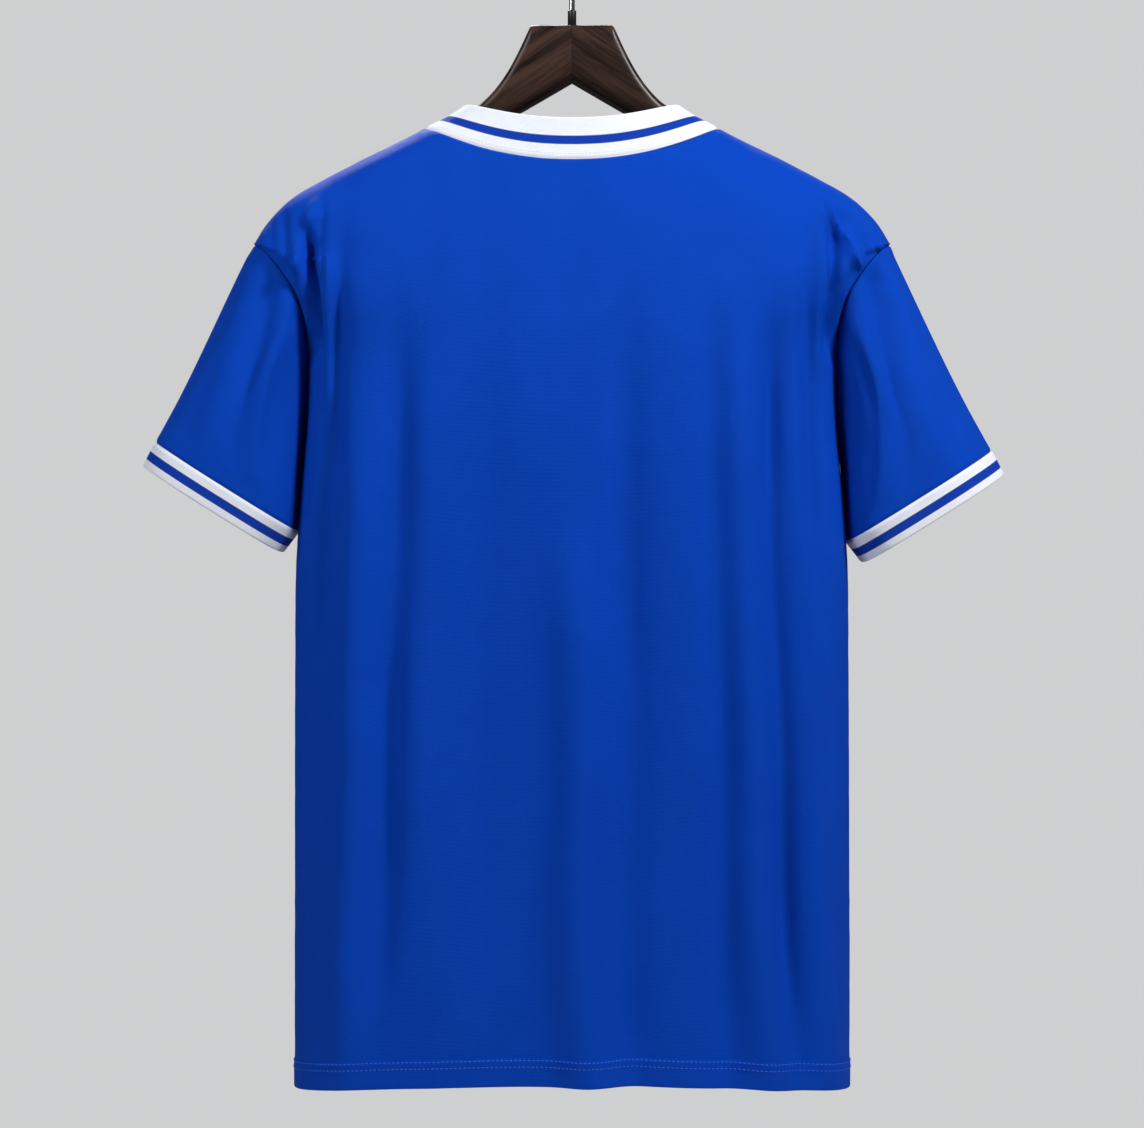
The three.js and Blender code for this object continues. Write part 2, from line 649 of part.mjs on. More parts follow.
function fromManifold(solid) {
  const mesh = solid.getMesh();
  const geometry = new THREE.BufferGeometry();
  geometry.setAttribute('position', new THREE.BufferAttribute(mesh.vertProperties, 3));
  geometry.setIndex(new THREE.BufferAttribute(mesh.triVerts, 1));
  geometry.computeVertexNormals();
  return geometry;
}

function boredHanger() {
  const bore = new THREE.CylinderGeometry(hookWire / 2 + seamGap, hookWire / 2 + seamGap, 2 * boreDepth, 16);
  bore.rotateX(Math.PI / 2);
  bore.translate(0, 0, -hangerProfile[0].top);
  return fromManifold(toManifold(hangerSolid()).subtract(toManifold(bore)));
}

// Hook: straight shank, a bend to one side, then round over the rail to its tip
function hookSolid() {
  const radius = hookInside + hookWire / 2;
  const centreDown = hookInside;
  const bendDown = centreDown + Math.sqrt((radius + hookNeckBend) ** 2 - hookNeckBend ** 2);
  const meet = Math.atan2(-(bendDown - centreDown), hookNeckBend);
  const wire = new THREE.CurvePath();
  const bottom = hangerProfile[0].top + hookSink;
  wire.add(new THREE.LineCurve3(point(0, 0, -bottom), point(0, 0, -bendDown)));
  const arcPoints = (x, down, r, from, to, count) => Array.from({ length: count + 1 }, (_, i) => {
    const turn = mix(from, to, i / count);
    return point(x + r * Math.cos(turn), 0, -down + r * Math.sin(turn));
  });
  const bend = arcPoints(hookNeckBend, bendDown, hookNeckBend, Math.PI, meet + Math.PI, 6);
  const round = arcPoints(0, centreDown, radius, meet, hookEndAngle, 24);
  wire.add(new THREE.CatmullRomCurve3([...bend, ...round.slice(1)], false, 'centripetal'));
  const section = new THREE.Shape();
  for (let k = 0; k < hookSides; k += 1) {
    const turn = (2 * Math.PI * k) / hookSides;
    const at = [(hookWire / 2) * Math.cos(turn), (hookWire / 2) * Math.sin(turn)];
    if (k === 0) section.moveTo(...at);
    else section.lineTo(...at);
  }
  section.closePath();
  const tube = new THREE.ExtrudeGeometry(section, { steps: hookSteps, extrudePath: wire, bevelEnabled: false });
  const tip = new THREE.SphereGeometry(hookWire / 2 + 0.5, 12, 8);
  const end = round[round.length - 1];
  tip.translate(end.x, end.y, end.z);
  return fromManifold(toManifold(tube).add(toManifold(tip)));
}

function ferruleSolid() {
  const inner = hookWire / 2 + seamGap;
  const outer = ferruleOuter / 2;
  const low = -hangerProfile[0].top + seamGap;
  const high = low + ferruleHeight;
  const lip = 0.5;
  const profile = [
    new THREE.Vector2(inner, low),
    new THREE.Vector2(outer, low),
    new THREE.Vector2(outer, high - lip),
    new THREE.Vector2(outer - lip, high),
    new THREE.Vector2(inner, high),
    new THREE.Vector2(inner, low),
  ];
  const geometry = new THREE.LatheGeometry(profile, 20);
  geometry.rotateX(Math.PI / 2);
  return geometry;
}

const finishes = {
  cloth: { color: colours.blue, roughness: 0.55, metalness: 0 },
  rib: { color: colours.blueWhiteRib, roughness: 0.8, metalness: 0 },
  wood: { color: colours.walnut, roughness: 0.45, metalness: 0 },
  ferrule: { color: colours.black, roughness: 0.5, metalness: 0.2 },
  wire: { color: colours.chrome, roughness: 0.15, metalness: 1 },
};

const jersey = new THREE.Group();
function addPiece(name, geometry, finish) {
  const mesh = new THREE.Mesh(geometry, new THREE.MeshStandardMaterial(finishes[finish]));
  mesh.name = name;
  jersey.add(mesh);
}

const loop = armholeLoop();
const backPanel = panelGrid(loop, 1);
const frontPanel = panelGrid(loop, -1);
const backSolid = panelSolid(backPanel, 1);
const frontSolid = panelSolid(frontPanel, -1);
addPiece('back_panel', backSolid.geometry, 'cloth');
addPiece('front_panel', frontSolid.geometry, 'cloth');

sleeveSides.forEach((sleeve) => {
  const pieces = sleevePieces(loop, sleeve);
  const turned = (geometry) => {
    if (sleeve.side > 0) return geometry;
    const positions = Array.from(geometry.attributes.position.array);
    for (let i = 0; i < positions.length; i += 3) positions[i] = -positions[i];
    return facingOut(positions, Array.from(geometry.index.array));
  };
  addPiece(`sleeve_${sleeve.name}`, turned(pieces.cloth), 'cloth');
  addPiece(`cuff_${sleeve.name}`, turned(pieces.rib), 'rib');
});

const topRow = (rows) => rows[rows.length - 1];
addPiece('collar', collarSolid(topRow(backPanel.grid), topRow(frontPanel.grid),
  topRow(backSolid.directions), topRow(frontSolid.directions)), 'rib');
addPiece('hanger_wood', boredHanger(), 'wood');
addPiece('hanger_ferrule', ferruleSolid(), 'ferrule');
addPiece('hanger_hook', hookSolid(), 'wire');

export default jersey;
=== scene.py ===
import math
import bpy
import numpy as np
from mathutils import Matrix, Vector


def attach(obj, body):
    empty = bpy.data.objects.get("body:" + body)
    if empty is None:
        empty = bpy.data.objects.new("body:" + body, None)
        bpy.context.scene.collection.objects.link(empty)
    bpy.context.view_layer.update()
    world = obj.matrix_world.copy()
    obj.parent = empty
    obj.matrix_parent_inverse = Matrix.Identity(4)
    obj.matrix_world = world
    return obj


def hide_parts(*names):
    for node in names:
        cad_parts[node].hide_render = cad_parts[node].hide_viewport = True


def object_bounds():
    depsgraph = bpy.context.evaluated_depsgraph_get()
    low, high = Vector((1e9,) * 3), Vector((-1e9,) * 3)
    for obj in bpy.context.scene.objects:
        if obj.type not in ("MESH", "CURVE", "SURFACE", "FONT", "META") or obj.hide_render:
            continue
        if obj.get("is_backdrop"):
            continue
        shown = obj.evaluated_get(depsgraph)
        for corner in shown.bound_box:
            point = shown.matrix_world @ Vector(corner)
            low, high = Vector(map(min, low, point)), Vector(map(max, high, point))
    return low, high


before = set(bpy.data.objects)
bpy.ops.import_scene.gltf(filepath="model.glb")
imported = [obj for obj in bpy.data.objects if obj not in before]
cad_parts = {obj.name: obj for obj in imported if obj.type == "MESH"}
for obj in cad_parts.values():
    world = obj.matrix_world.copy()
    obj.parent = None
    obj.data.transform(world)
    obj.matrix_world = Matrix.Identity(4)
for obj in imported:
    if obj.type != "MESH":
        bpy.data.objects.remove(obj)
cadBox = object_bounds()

# Football jersey on a wooden hanger, in the part's own frame: +Z up, the wearer's front
# faces -Y and the wearer's left side is +X. Shapes are worked out in millimetres, with
# "down" below the rail, "out" from the middle and "back" towards +Y.
mm = 0.001


def table(columns, *rows):
    names = columns.split()
    return {name: np.array([row[k] for row in rows], float) for k, name in enumerate(names)}


def rowsOf(columns):
    names = list(columns)
    return [dict(zip(names, values)) for values in zip(*columns.values())]


# Value of one column at a value of another, on a smooth curve through the rows
def readTable(columns, along, at, column):
    keys, values = columns[along], columns[column]
    if keys[0] > keys[-1]:
        keys, values = keys[::-1], values[::-1]
    wideKeys, wideValues = np.pad(keys, 1, "edge"), np.pad(values, 1, "edge")
    slopes = (wideValues[2:] - wideValues[:-2]) / (wideKeys[2:] - wideKeys[:-2])
    at = np.asarray(at, float)
    low = np.clip(np.searchsorted(keys, at, side="left") - 1, 0, len(keys) - 2)
    span = keys[low + 1] - keys[low]
    t = np.clip((at - keys[low]) / span, 0, 1)
    start = (1 + 2 * t) * (1 - t) ** 2 * values[low] + t * (1 - t) ** 2 * span * slopes[low]
    return start + t * t * (3 - 2 * t) * values[low + 1] + t * t * (t - 1) * span * slopes[low + 1]


def mix(a, b, t):
    return a + (b - a) * t


def unit(vectors):
    return vectors / np.maximum(np.linalg.norm(vectors, axis=-1, keepdims=True), 1e-12)


def ease(t):
    t = np.clip(t, 0, 1)
    return t * t * (3 - 2 * t)


# Points on a smooth centripetal curve through the given ones, at values from 0 to 1
def curveThrough(points, closed, at):
    points = np.asarray(points, float)
    count = len(points)
    spans = count if closed else count - 1
    place = np.asarray(at, float) * spans
    index = np.floor(place).astype(int)
    if closed:
        near = [points[(index + k - 1) % count] for k in range(4)]
    else:
        index = np.clip(index, 0, spans - 1)
        first, last = 2 * points[0] - points[1], 2 * points[-1] - points[-2]
        longer = np.vstack([first, points, last])
        near = [longer[index + k] for k in range(4)]
    t = (place - index)[:, None]
    gaps = [np.sqrt(np.linalg.norm(near[k + 1] - near[k], axis=1))[:, None] for k in range(3)]
    leave = (near[1] - near[0]) / gaps[0] - (near[2] - near[0]) / (gaps[0] + gaps[1])
    leave = (leave + (near[2] - near[1]) / gaps[1]) * gaps[1]
    arrive = (near[2] - near[1]) / gaps[1] - (near[3] - near[1]) / (gaps[1] + gaps[2])
    arrive = (arrive + (near[3] - near[2]) / gaps[2]) * gaps[1]
    start = (1 + 2 * t) * (1 - t) ** 2 * near[1] + t * (1 - t) ** 2 * leave
    return start + t * t * (3 - 2 * t) * near[2] + t * t * (t - 1) * arrive


def lengthAlong(points):
    return np.concatenate([[0], np.cumsum(np.linalg.norm(np.diff(points, axis=0), axis=1))])


def pointsAt(points, wanted):
    reach = lengthAlong(points)
    return np.stack([np.interp(wanted, reach, points[:, k]) for k in range(3)], axis=1)


# Smooth uneven values from -1 to 1, one lattice of random heights for each seed
def unevenness(x, y, seed):
    heights = np.random.default_rng(seed).uniform(-1, 1, (64, 64))
    cellX, cellY = np.floor(x).astype(int), np.floor(y).astype(int)
    partX, partY = x - cellX, y - cellY
    fadeX = partX ** 3 * (partX * (partX * 6 - 15) + 10)
    fadeY = partY ** 3 * (partY * (partY * 6 - 15) + 10)
    corner = lambda i, j: heights[(cellX + i) % 64, (cellY + j) % 64]
    low = mix(corner(0, 0), corner(1, 0), fadeX)
    high = mix(corner(0, 1), corner(1, 1), fadeX)
    return mix(low, high, fadeY)


# Directions out of a grid of points; "around" joins its last column to its first
def gridNormals(grid, outwards, around=False):
    alongRows = np.gradient(grid, axis=0)
    if around:
        alongColumns = np.roll(grid, -1, axis=1) - np.roll(grid, 1, axis=1)
    else:
        alongColumns = np.gradient(grid, axis=1)
    return outwards * unit(np.cross(alongRows, alongColumns))


print("garment: shapes")

garment = {
    "widths": table(
        "down halfWidth",
        (229.4, 230),
        (241, 236.9),
        (250, 238),
        (262, 234),
        (280, 221.5),
        (296, 208.5),
        (314, 199.3),
        (342, 195.8),
        (388, 197.3),
        (430, 201.2),
        (480, 204.7),
        (540, 205.4),
        (700, 206),
        (865, 206),
    ),
    "depths": table(
        "down backDepth frontDepth square",
        (150, 40, 34, 2.2),
        (183, 46, 42, 2.3),
        (241, 57, 58, 2.5),
        (310, 66, 68, 2.8),
        (388, 70, 71, 3.0),
        (455, 69, 70, 3.0),
        (540, 67, 68, 3.0),
        (700, 64, 65, 3.1),
        (865, 62, 63, 3.1),
    ),
    "shoulder": table(
        "out down",
        (109, 154.5),
        (155.5, 178),
        (185, 193.2),
        (205, 204.6),
        (219, 216),
        (230, 229.4),
        (236.9, 241),
    ),
    "armhole": table(
        "out down back lean dive",
        (236.9, 241, 0, 1.7, 0),
        (226, 250, 24, 1.1, 0),
        (215.5, 262.5, 31, 0.7, 0),
        (204.5, 279, 33.5, 0.45, 0.15),
        (199, 294, 29, 0.35, 0.6),
        (196.4, 312, 20, 0.35, 1),
        (195.2, 340, 11, 0.4, 1),
        (195.8, 366, 7.5, 0.5, 0.7),
        (197.3, 388, 0, 0.6, 0),
    ),
    "backNeckDown": 183,
    "frontNeckDown": 246,
    "neckCurvePower": 2.2,
    "hemMiddleDown": 857,
    "hemSideDown": 865,
    "hemDepth": 19,
    "hemWall": 2.2,
    "hemProud": 0.55,
    "clothWall": 0.9,
    "armholeRows": 64,
    "shoulderRows": 46,
    "bodyRows": 72,
    "columns": 84,
    "columnCrowding": 1.5,
    "evenRows": 0.6,
    "seamReach": 26,
}
edgeSteps = np.array([0, 0.7, 1.4, 2.2, 3.2, 4.6, 6.6, 9.2, 12.4])
hemRowHeights = np.concatenate([np.arange(0, 26, 1.2), [27.6, 30]])


# The armhole as one closed loop on the left side: shoulder, back, underarm, front
def armholeLoop():
    seam = garment["armhole"]
    backHalf = np.stack([seam["out"], seam["back"], -seam["down"]], axis=1)
    frontHalf = (backHalf * [1, -1, 1])[1:-1][::-1]
    ring = np.vstack([backHalf, frontHalf])
    rows = garment["armholeRows"]
    halves = []
    for start in (0, 0.5):
        dense = curveThrough(ring, True, start + np.linspace(0, 0.4999999, 2400))
        halves.append(pointsAt(dense, np.linspace(0, lengthAlong(dense)[-1], rows + 1)))
    loop = np.vstack([halves[0], halves[1][1:-1]])
    along = unit(np.roll(loop, -1, axis=0) - np.roll(loop, 1, axis=0))
    away = (loop - loop.mean(axis=0)) * [0, 1, 1]
    faces = unit(np.cross(along, [1, 0, 0]))
    faces[(faces * away).sum(axis=1) < 0] *= -1
    lean = readTable(seam, "down", -loop[:, 2], "lean")
    faces = faces + lean[:, None] * np.array([1.0, 0, 0])
    faces = unit(faces - along * (faces * along).sum(axis=1, keepdims=True))
    dive = readTable(seam, "down", -loop[:, 2], "dive")
    return loop, faces, dive


# Side edge of a panel from the hem to the neck: side seam, armhole and shoulder seam
def panelSide(loop, loopFaces, backwards):
    underarm = garment["armhole"]["down"][-1]
    hemTop = garment["hemSideDown"] - hemRowHeights[-1]
    body = np.linspace(hemTop, underarm, garment["bodyRows"] + 1)[1:-1]
    heights = np.concatenate([garment["hemSideDown"] - hemRowHeights, body])
    width = readTable(garment["widths"], "down", heights, "halfWidth")
    lower = np.stack([width, np.zeros_like(width), -heights], axis=1)
    rows = garment["armholeRows"]
    order = np.arange(rows, 0, -1)
    if backwards < 0:
        order = np.where(order == rows, rows, len(loop) - order)
    seam = garment["shoulder"]
    ridge = np.stack([seam["out"], seam["out"] * 0, -seam["down"]], axis=1)[::-1]
    dense = curveThrough(ridge, False, np.linspace(0, 1, 1600))
    full = lengthAlong(dense)[-1]
    nearNeck = full - edgeSteps[::-1]
    wanted = np.concatenate([np.linspace(0, full - edgeSteps[-1] - 3, garment["shoulderRows"]), nearNeck])
    shoulder = pointsAt(dense, wanted)
    slope = unit(np.gradient(shoulder, axis=0))
    shoulderFaces = np.stack([slope[:, 2], slope[:, 1] * 0, -slope[:, 0]], axis=1)
    shoulderFaces[0] = loopFaces[0]
    side = np.vstack([lower, loop[order], shoulder])
    lowerFaces = np.tile([1.0, 0, 0], (len(lower), 1))
    return side, np.vstack([lowerFaces, loopFaces[order], shoulderFaces])


# Rows of a panel are arcs of a squared ellipse that end on its seams. Also returned is how
# far each point lies from the side edge along its row.
def panelBase(side, backwards):
    depthColumn = "backDepth" if backwards > 0 else "frontDepth"
    neckDown = garment["backNeckDown"] if backwards > 0 else garment["frontNeckDown"]
    underarm = garment["armhole"]["down"][-1]
    neckSide = garment["shoulder"]["down"][0]
    rows, fromEdge = [], []
    shoulderTip = garment["armhole"]["down"][0]
    reach = lengthAlong(side)
    underarmReach = np.interp(underarm, -side[::-1, 2], reach[::-1])
    climbed = (reach - underarmReach) / (reach[-1] - underarmReach)
    for edge, upSeam in zip(side, climbed):
        sideDown = -edge[2]
        if sideDown > underarm:
            t = (sideDown - underarm) / (garment["hemSideDown"] - underarm)
            middleDown = mix(underarm, garment["hemMiddleDown"], t)
        else:
            upwards = (underarm - sideDown) / (underarm - neckSide)
            middleDown = mix(underarm, neckDown, mix(upwards, upSeam, garment["evenRows"]))
        depth = float(readTable(garment["depths"], "down", middleDown, depthColumn))
        square = float(readTable(garment["depths"], "down", middleDown, "square"))
        fullWidth = edge[0]
        if sideDown > shoulderTip:
            fullWidth = float(readTable(garment["widths"], "down", sideDown, "halfWidth"))
        endTurn = math.acos(min(1, (abs(edge[1]) / depth) ** (square / 2)))
        turn = endTurn * np.linspace(0, 1, 1500) ** 1.3
        out = fullWidth * np.sin(turn) ** (2 / square)
        down = mix(middleDown, sideDown, np.minimum(1, out / out[-1]) ** garment["neckCurvePower"])
        back = depth * np.maximum(0, np.cos(turn)) ** (2 / square)
        arc = np.stack([out, backwards * back, -down], axis=1)
        left = lengthAlong(arc)[-1] - lengthAlong(arc)
        arc = arc + (edge - arc[-1]) * np.exp(-(left / garment["seamReach"]) ** 2)[:, None]
        full = lengthAlong(arc)[-1]
        part = 1 - np.linspace(1, 0, garment["columns"]) ** garment["columnCrowding"]
        inner = (full - edgeSteps[-1] - 1.5) * part
        wanted = np.concatenate([inner, full - edgeSteps[::-1]])
        half = pointsAt(arc, wanted)
        half[-1] = edge
        rows.append(np.vstack([(half * [-1, 1, 1])[1:][::-1], half]))
        left = full - wanted
        fromEdge.append(np.concatenate([left[1:][::-1], left]))
    return np.array(rows), np.array(fromEdge)


# Folds of a panel, as seen from behind the garment. Each runs from its top to its bottom
# with a bow between them; a minus depth is a trough and a plus depth a ridge.
backFolds = table(
    "topOut topDown lowOut lowDown bow width depth",
    (170, 215, 181, 560, 3, 8, -3.5),
    (158, 300, 168, 900, -5, 14, 6),
    (126, 250, 146, 860, -6, 13, -6),
    (112, 300, 122, 720, -2, 18, 4),
    (60, 330, 66, 800, 5, 22, -3),
    (-4, 420, -12, 960, 3, 19, 10),
    (-40, 250, -45, 930, 2, 13, -6),
    (-74, 240, -84, 700, 0, 20, 3.5),
    (-100, 260, -116, 930, 2, 11, -4),
    (-117, 240, -150, 940, 9, 16, 9.5),
    (-146, 250, -170, 900, 9, 10, -7),
    (-172, 205, -184, 560, 3, 7, -3.5),
    (-178, 420, -190, 900, 3, 9, 3),
)
frontFolds = table(
    "topOut topDown lowOut lowDown bow width depth",
    (168, 215, 180, 560, 3, 8, -3.5),
    (150, 260, 162, 900, -4, 14, 6),
    (118, 300, 134, 930, -6, 12, -6),
    (84, 340, 92, 760, 3, 18, 4),
    (40, 300, 34, 930, 4, 17, 6),
    (2, 380, -10, 930, 3, 12, -5),
    (-58, 320, -72, 930, 5, 18, 6),
    (-96, 300, -108, 820, -4, 13, -5),
    (-134, 260, -148, 930, 5, 15, 6),
    (-164, 230, -178, 760, 5, 10, -5),
)

# Creases where the cloth drops off the end of the hanger, in the same columns
backCreases = table(
    "topOut topDown lowOut lowDown bow width depth",
    (197, 222, 189.5, 336, -1, 5, -13),
    (184, 206, 183, 285, 0, 2.2, -2.4),
    (187, 224, 186.5, 250, 0, 2.8, -2.2),
    (186, 206, 203, 270, 3, 4, 4),
    (214, 212, 209, 276, 0, 4, -2.6),
    (224, 218, 219, 262, 0, 3.2, -1.6),
    (178, 236, 177.5, 380, 0, 4.5, 3),
    (171.5, 270, 171, 430, 0, 4.5, -2.6),
    (-194.5, 214, -192, 336, 0, 6, -11),
    (-182.6, 204, -187, 312, 0, 2.4, 3.6),
    (-183.6, 222, -184.4, 290, 0, 1.7, -1.5),
    (-179.6, 222, -180.5, 350, 0, 2.6, 2.2),
    (-180, 202, -214, 270, -3, 2.8, 4.2),
    (-196, 212, -224, 268, -2, 3.6, -2.6),
    (-206, 214, -232, 256, -2, 3.2, 1.8),
    (-201, 232, -207, 290, 0, 4.2, -2.6),
)
frontCreases = table(
    "topOut topDown lowOut lowDown bow width depth",
    (195, 226, 191, 334, 1, 4.8, -12),
    (185, 206, 187, 304, 0, 2.4, 3.4),
    (182, 205, 210, 270, 3, 2.8, 3.8),
    (203, 232, 208, 288, 0, 4.2, -2.6),
    (198, 214, 224, 266, 2, 3.6, -2.2),
    (-194, 224, -190, 336, -1, 4.8, -12),
    (-184, 205, -183, 284, 0, 2.2, -2.4),
    (-187, 206, -204, 268, -3, 3.6, 4),
    (-214, 222, -210, 268, 0, 3, -3.2),
    (-177, 240, -177, 376, 0, 4.4, 2.8),
)

# What softens and roughens the folds: their gain in depth, how far they wander, how much their depth changes,
# and the small unevenness of hung knit, each with its own width and height of cell
drape = {
    "gain": 1.25,
    "wander": 3.5,
    "creaseWander": 0.8,
    "creaseReach": 12,
    "wanderCell": (110, 150),
    "swell": 0.3,
    "swellCell": (70, 120),
    "ripples": [(46, 240, 1.4), (21, 130, 0.55), (11, 60, 0.14)],
    "seamDip": 1.0,
    "seamDipWidth": 1.3,
    "puckerDepth": 0.3,
    "puckerReach": 16,
    "puckerCell": 9,
}


def foldDepth(folds, out, down, seed, wander=drape["wander"]):
    wanderX, wanderY = drape["wanderCell"]
    out = out + wander * unevenness(out / wanderX + 9, down / wanderY + 5, seed)
    moved = np.zeros_like(out)
    for number, fold in enumerate(rowsOf(folds)):
        t = (down - fold["topDown"]) / (fold["lowDown"] - fold["topDown"])
        inside = (t > 0) & (t < 1)
        t = np.clip(t, 0, 1)
        middle = mix(fold["topOut"], fold["lowOut"], t) + fold["bow"] * 4 * t * (1 - t)
        off = (out - middle) / fold["width"]
        fade = ease(np.minimum(1, np.sin(np.pi * t) * 1.6))
        cellX, cellY = drape["swellCell"]
        swell = 1 + drape["swell"] * unevenness(out / cellX + number, down / cellY + 3, seed + 1)
        moved += np.where(inside, fold["depth"] * fade * swell * np.exp(-off * off), 0)
    return moved


def ripples(out, down, seed):
    moved = np.zeros_like(out)
    for number, (cellX, cellY, height) in enumerate(drape["ripples"]):
        moved += height * unevenness(out / cellX + 20, down / cellY + 7, seed + 10 * number)
    return moved


# Panel with its folds, ripples, puckers and the dip at its seams
def drapedPanel(side, faces, backwards, folds, creases, seed):
    base, fromEdge = panelBase(side, backwards)
    normals = gridNormals(base, backwards)
    out, down = base[..., 0], -base[..., 2]
    moved = drape["gain"] * foldDepth(folds, out, down, seed) + ripples(out, down, seed + 5)
    moved *= np.clip(fromEdge / 28, 0, 1)
    creased = foldDepth(creases, out, down, seed, drape["creaseWander"])
    moved += creased * ease(fromEdge / drape["creaseReach"])
    fromNeck = np.concatenate([[0], np.cumsum(np.linalg.norm(np.diff(base[:, 0], axis=0), axis=1))])
    fromNeck = (fromNeck[-1] - fromNeck)[:, None] * np.ones_like(out)
    fromSeam = np.minimum(fromEdge, fromNeck)
    dip = drape["seamDip"] * np.exp(-(fromSeam / drape["seamDipWidth"]) ** 2)
    pucker = drape["puckerDepth"] * np.exp(-fromEdge / drape["puckerReach"]) * ease(fromEdge / 4)
    pucker = pucker * unevenness(fromEdge / 30, down / drape["puckerCell"], seed + 50)
    fromHem = np.zeros(len(side))
    fromHem[:len(hemRowHeights)] = hemRowHeights
    fromHem[len(hemRowHeights):] = 999
    hem = garment["hemProud"] * (1 - ease((fromHem - garment["hemDepth"] + 1) / 1.8))[:, None]
    moved = moved + pucker - dip + hem
    grid = base + normals * moved[..., None]
    finalNormals = gridNormals(grid, backwards)
    finalNormals[:, -1] = faces
    finalNormals[:, 0] = faces * [-1, 1, 1]
    wall = np.where(fromHem < garment["hemDepth"], garment["hemWall"], garment["clothWall"])
    inner = grid - finalNormals * wall[:, None, None]
    across = np.cumsum(np.concatenate(
        [np.zeros((len(grid), 1)), np.linalg.norm(np.diff(base, axis=1), axis=2)], axis=1), axis=1)
    across -= across[:, -1:] / 2
    steps = np.linalg.norm(np.diff(base[..., 1:], axis=0), axis=2)
    upwards = np.cumsum(np.vstack([np.zeros((1, len(base[0]))), steps]), axis=0)
    sizes = np.stack([across, upwards], axis=2)
    return {"outer": grid, "inner": inner, "normals": finalNormals, "base": base, "sizes": sizes}


# One strip of cloth: down its outer side, round its free edge and up its inner side
def foldedStrip(outer, inner, edgeRows=4):
    middle = (outer[0] + inner[0]) / 2
    towards = unit(outer[0] - outer[1])
    radius = np.linalg.norm(outer[0] - inner[0], axis=1, keepdims=True) / 2
    turns = [math.pi * (k + 1) / (edgeRows + 1) for k in range(edgeRows)]
    edge = [middle + (outer[0] - middle) * math.cos(a) + towards * radius * math.sin(a) for a in turns]
    return np.concatenate([outer[::-1], np.array(edge), inner])


def stripSizes(sizes, edgeRows=4):
    return np.concatenate([sizes[::-1], np.repeat(sizes[:1], edgeRows, axis=0), sizes])


# Closed mesh of a folded strip, with its flat sizes in millimetres as its UV map
def clothMesh(name, strip, sizes, around):
    rows, columns = strip.shape[:2]
    lastColumn = columns if around else columns - 1
    i, j = (a.ravel() for a in np.meshgrid(np.arange(rows), np.arange(lastColumn), indexing="ij"))
    corners = [(i, j), (i, j + 1), (i + 1, j + 1), (i + 1, j)]
    quads = np.stack([(a % rows) * columns + b % columns for a, b in corners], axis=1)
    places = np.stack([sizes[a % rows, b] for a, b in corners], axis=1)
    if not around:
        half = np.arange(rows // 2 - 1)
        for column in (0, columns - 1):
            near = [half, half + 1, rows - 2 - half, rows - 1 - half]
            quads = np.vstack([quads, np.stack([a * columns + column for a in near], axis=1)])
            places = np.vstack([places, np.stack([sizes[a, column] for a in near], axis=1)])
            if column == 0:
                quads[-len(half):] = quads[-len(half):, ::-1]
                places[-len(half):] = places[-len(half):, ::-1]
    points = strip.reshape(-1, 3)
    a, b, c, d = (points[quads[:, k]] for k in range(4))
    volume = (a * np.cross(b, c)).sum() + (a * np.cross(c, d)).sum()
    if volume < 0:
        quads, places = quads[:, ::-1], places[:, ::-1]
    mesh = bpy.data.meshes.new(name)
    mesh.from_pydata((points * mm).tolist(), [], quads.tolist())
    mesh.uv_layers.new(name="clothSize").data.foreach_set("uv", places.reshape(-1))
    mesh.polygons.foreach_set("use_smooth", np.ones(len(quads), bool))
    mesh.set_sharp_from_angle(angle=math.radians(50))
    return addPiece(name, mesh)


def addPiece(name, mesh):
    piece = bpy.data.objects.new(name, mesh)
    bpy.context.scene.collection.objects.link(piece)
    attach(piece, "root")
    return piece


def areaOf(grid, around=False):
    if around:
        grid = np.concatenate([grid, grid[:, :1]], axis=1)
    a, b, c, d = grid[:-1, :-1], grid[:-1, 1:], grid[1:, 1:], grid[1:, :-1]
    halves = np.linalg.norm(np.cross(b - a, c - a), axis=2) + np.linalg.norm(np.cross(c - a, d - a), axis=2)
    return halves.sum() / 2 * mm * mm


loop, loopFaces, loopDive = armholeLoop()
panels = {}
for name, backwards, folds, creases, seed in (("backPanel", 1, backFolds, backCreases, 11),
                                              ("frontPanel", -1, frontFolds, frontCreases, 23)):
    side, faces = panelSide(loop, loopFaces, backwards)
    panels[name] = drapedPanel(side, faces, backwards, folds, creases, seed)

# Sleeves: the middle of the cuff's upper edge, its half sizes and how far it tips outwards
sleeves = {
    "left": {"side": 1, "cuffOut": 257.2, "cuffDown": 421, "halfLength": 62.6, "halfDepth": 49},
    "right": {"side": -1, "cuffOut": 258.7, "cuffDown": 428, "halfLength": 63.6, "halfDepth": 49},
    "cuffTip": math.radians(32),
    "topPull": 62,
    "underPull": 12,
    "cuffPull": 46,
    "cuffDepth": 20,
    "cuffTaper": 0.97,
    "underCuffPull": 26,
    "divePull": 30,
    "innerSquare": 3.2,
    "rings": 78,
}
ribs = {"wall": 2.2, "proud": 0.4, "seamDip": 0.9, "collarWidth": 32}

# Folds of a sleeve: "turn" and "endTurn" are how far round it starts and ends, in degrees
# from the shoulder towards the back, and "start" and "end" are parts of the way to the cuff
sleeveFolds = {
    "left": table(
        "turn endTurn start end width depth",
        (36, 98, -0.15, 0.9, 9, -4.5),
        (57, 122, -0.1, 1.05, 10, 3),
        (16, 70, 0, 1.05, 12, 2.5),
        (322, 262, -0.1, 0.9, 10, -4),
        (300, 240, 0, 1.05, 12, 2.5),
    ),
    "right": table(
        "turn endTurn start end width depth",
        (38, 112, -0.15, 1, 8.5, -5.5),
        (59, 136, -0.1, 1.1, 10, 3.5),
        (18, 84, 0, 1.1, 12, 3),
        (318, 256, -0.1, 0.95, 10, -4.5),
        (296, 236, 0, 1.05, 12, 3),
    ),
}


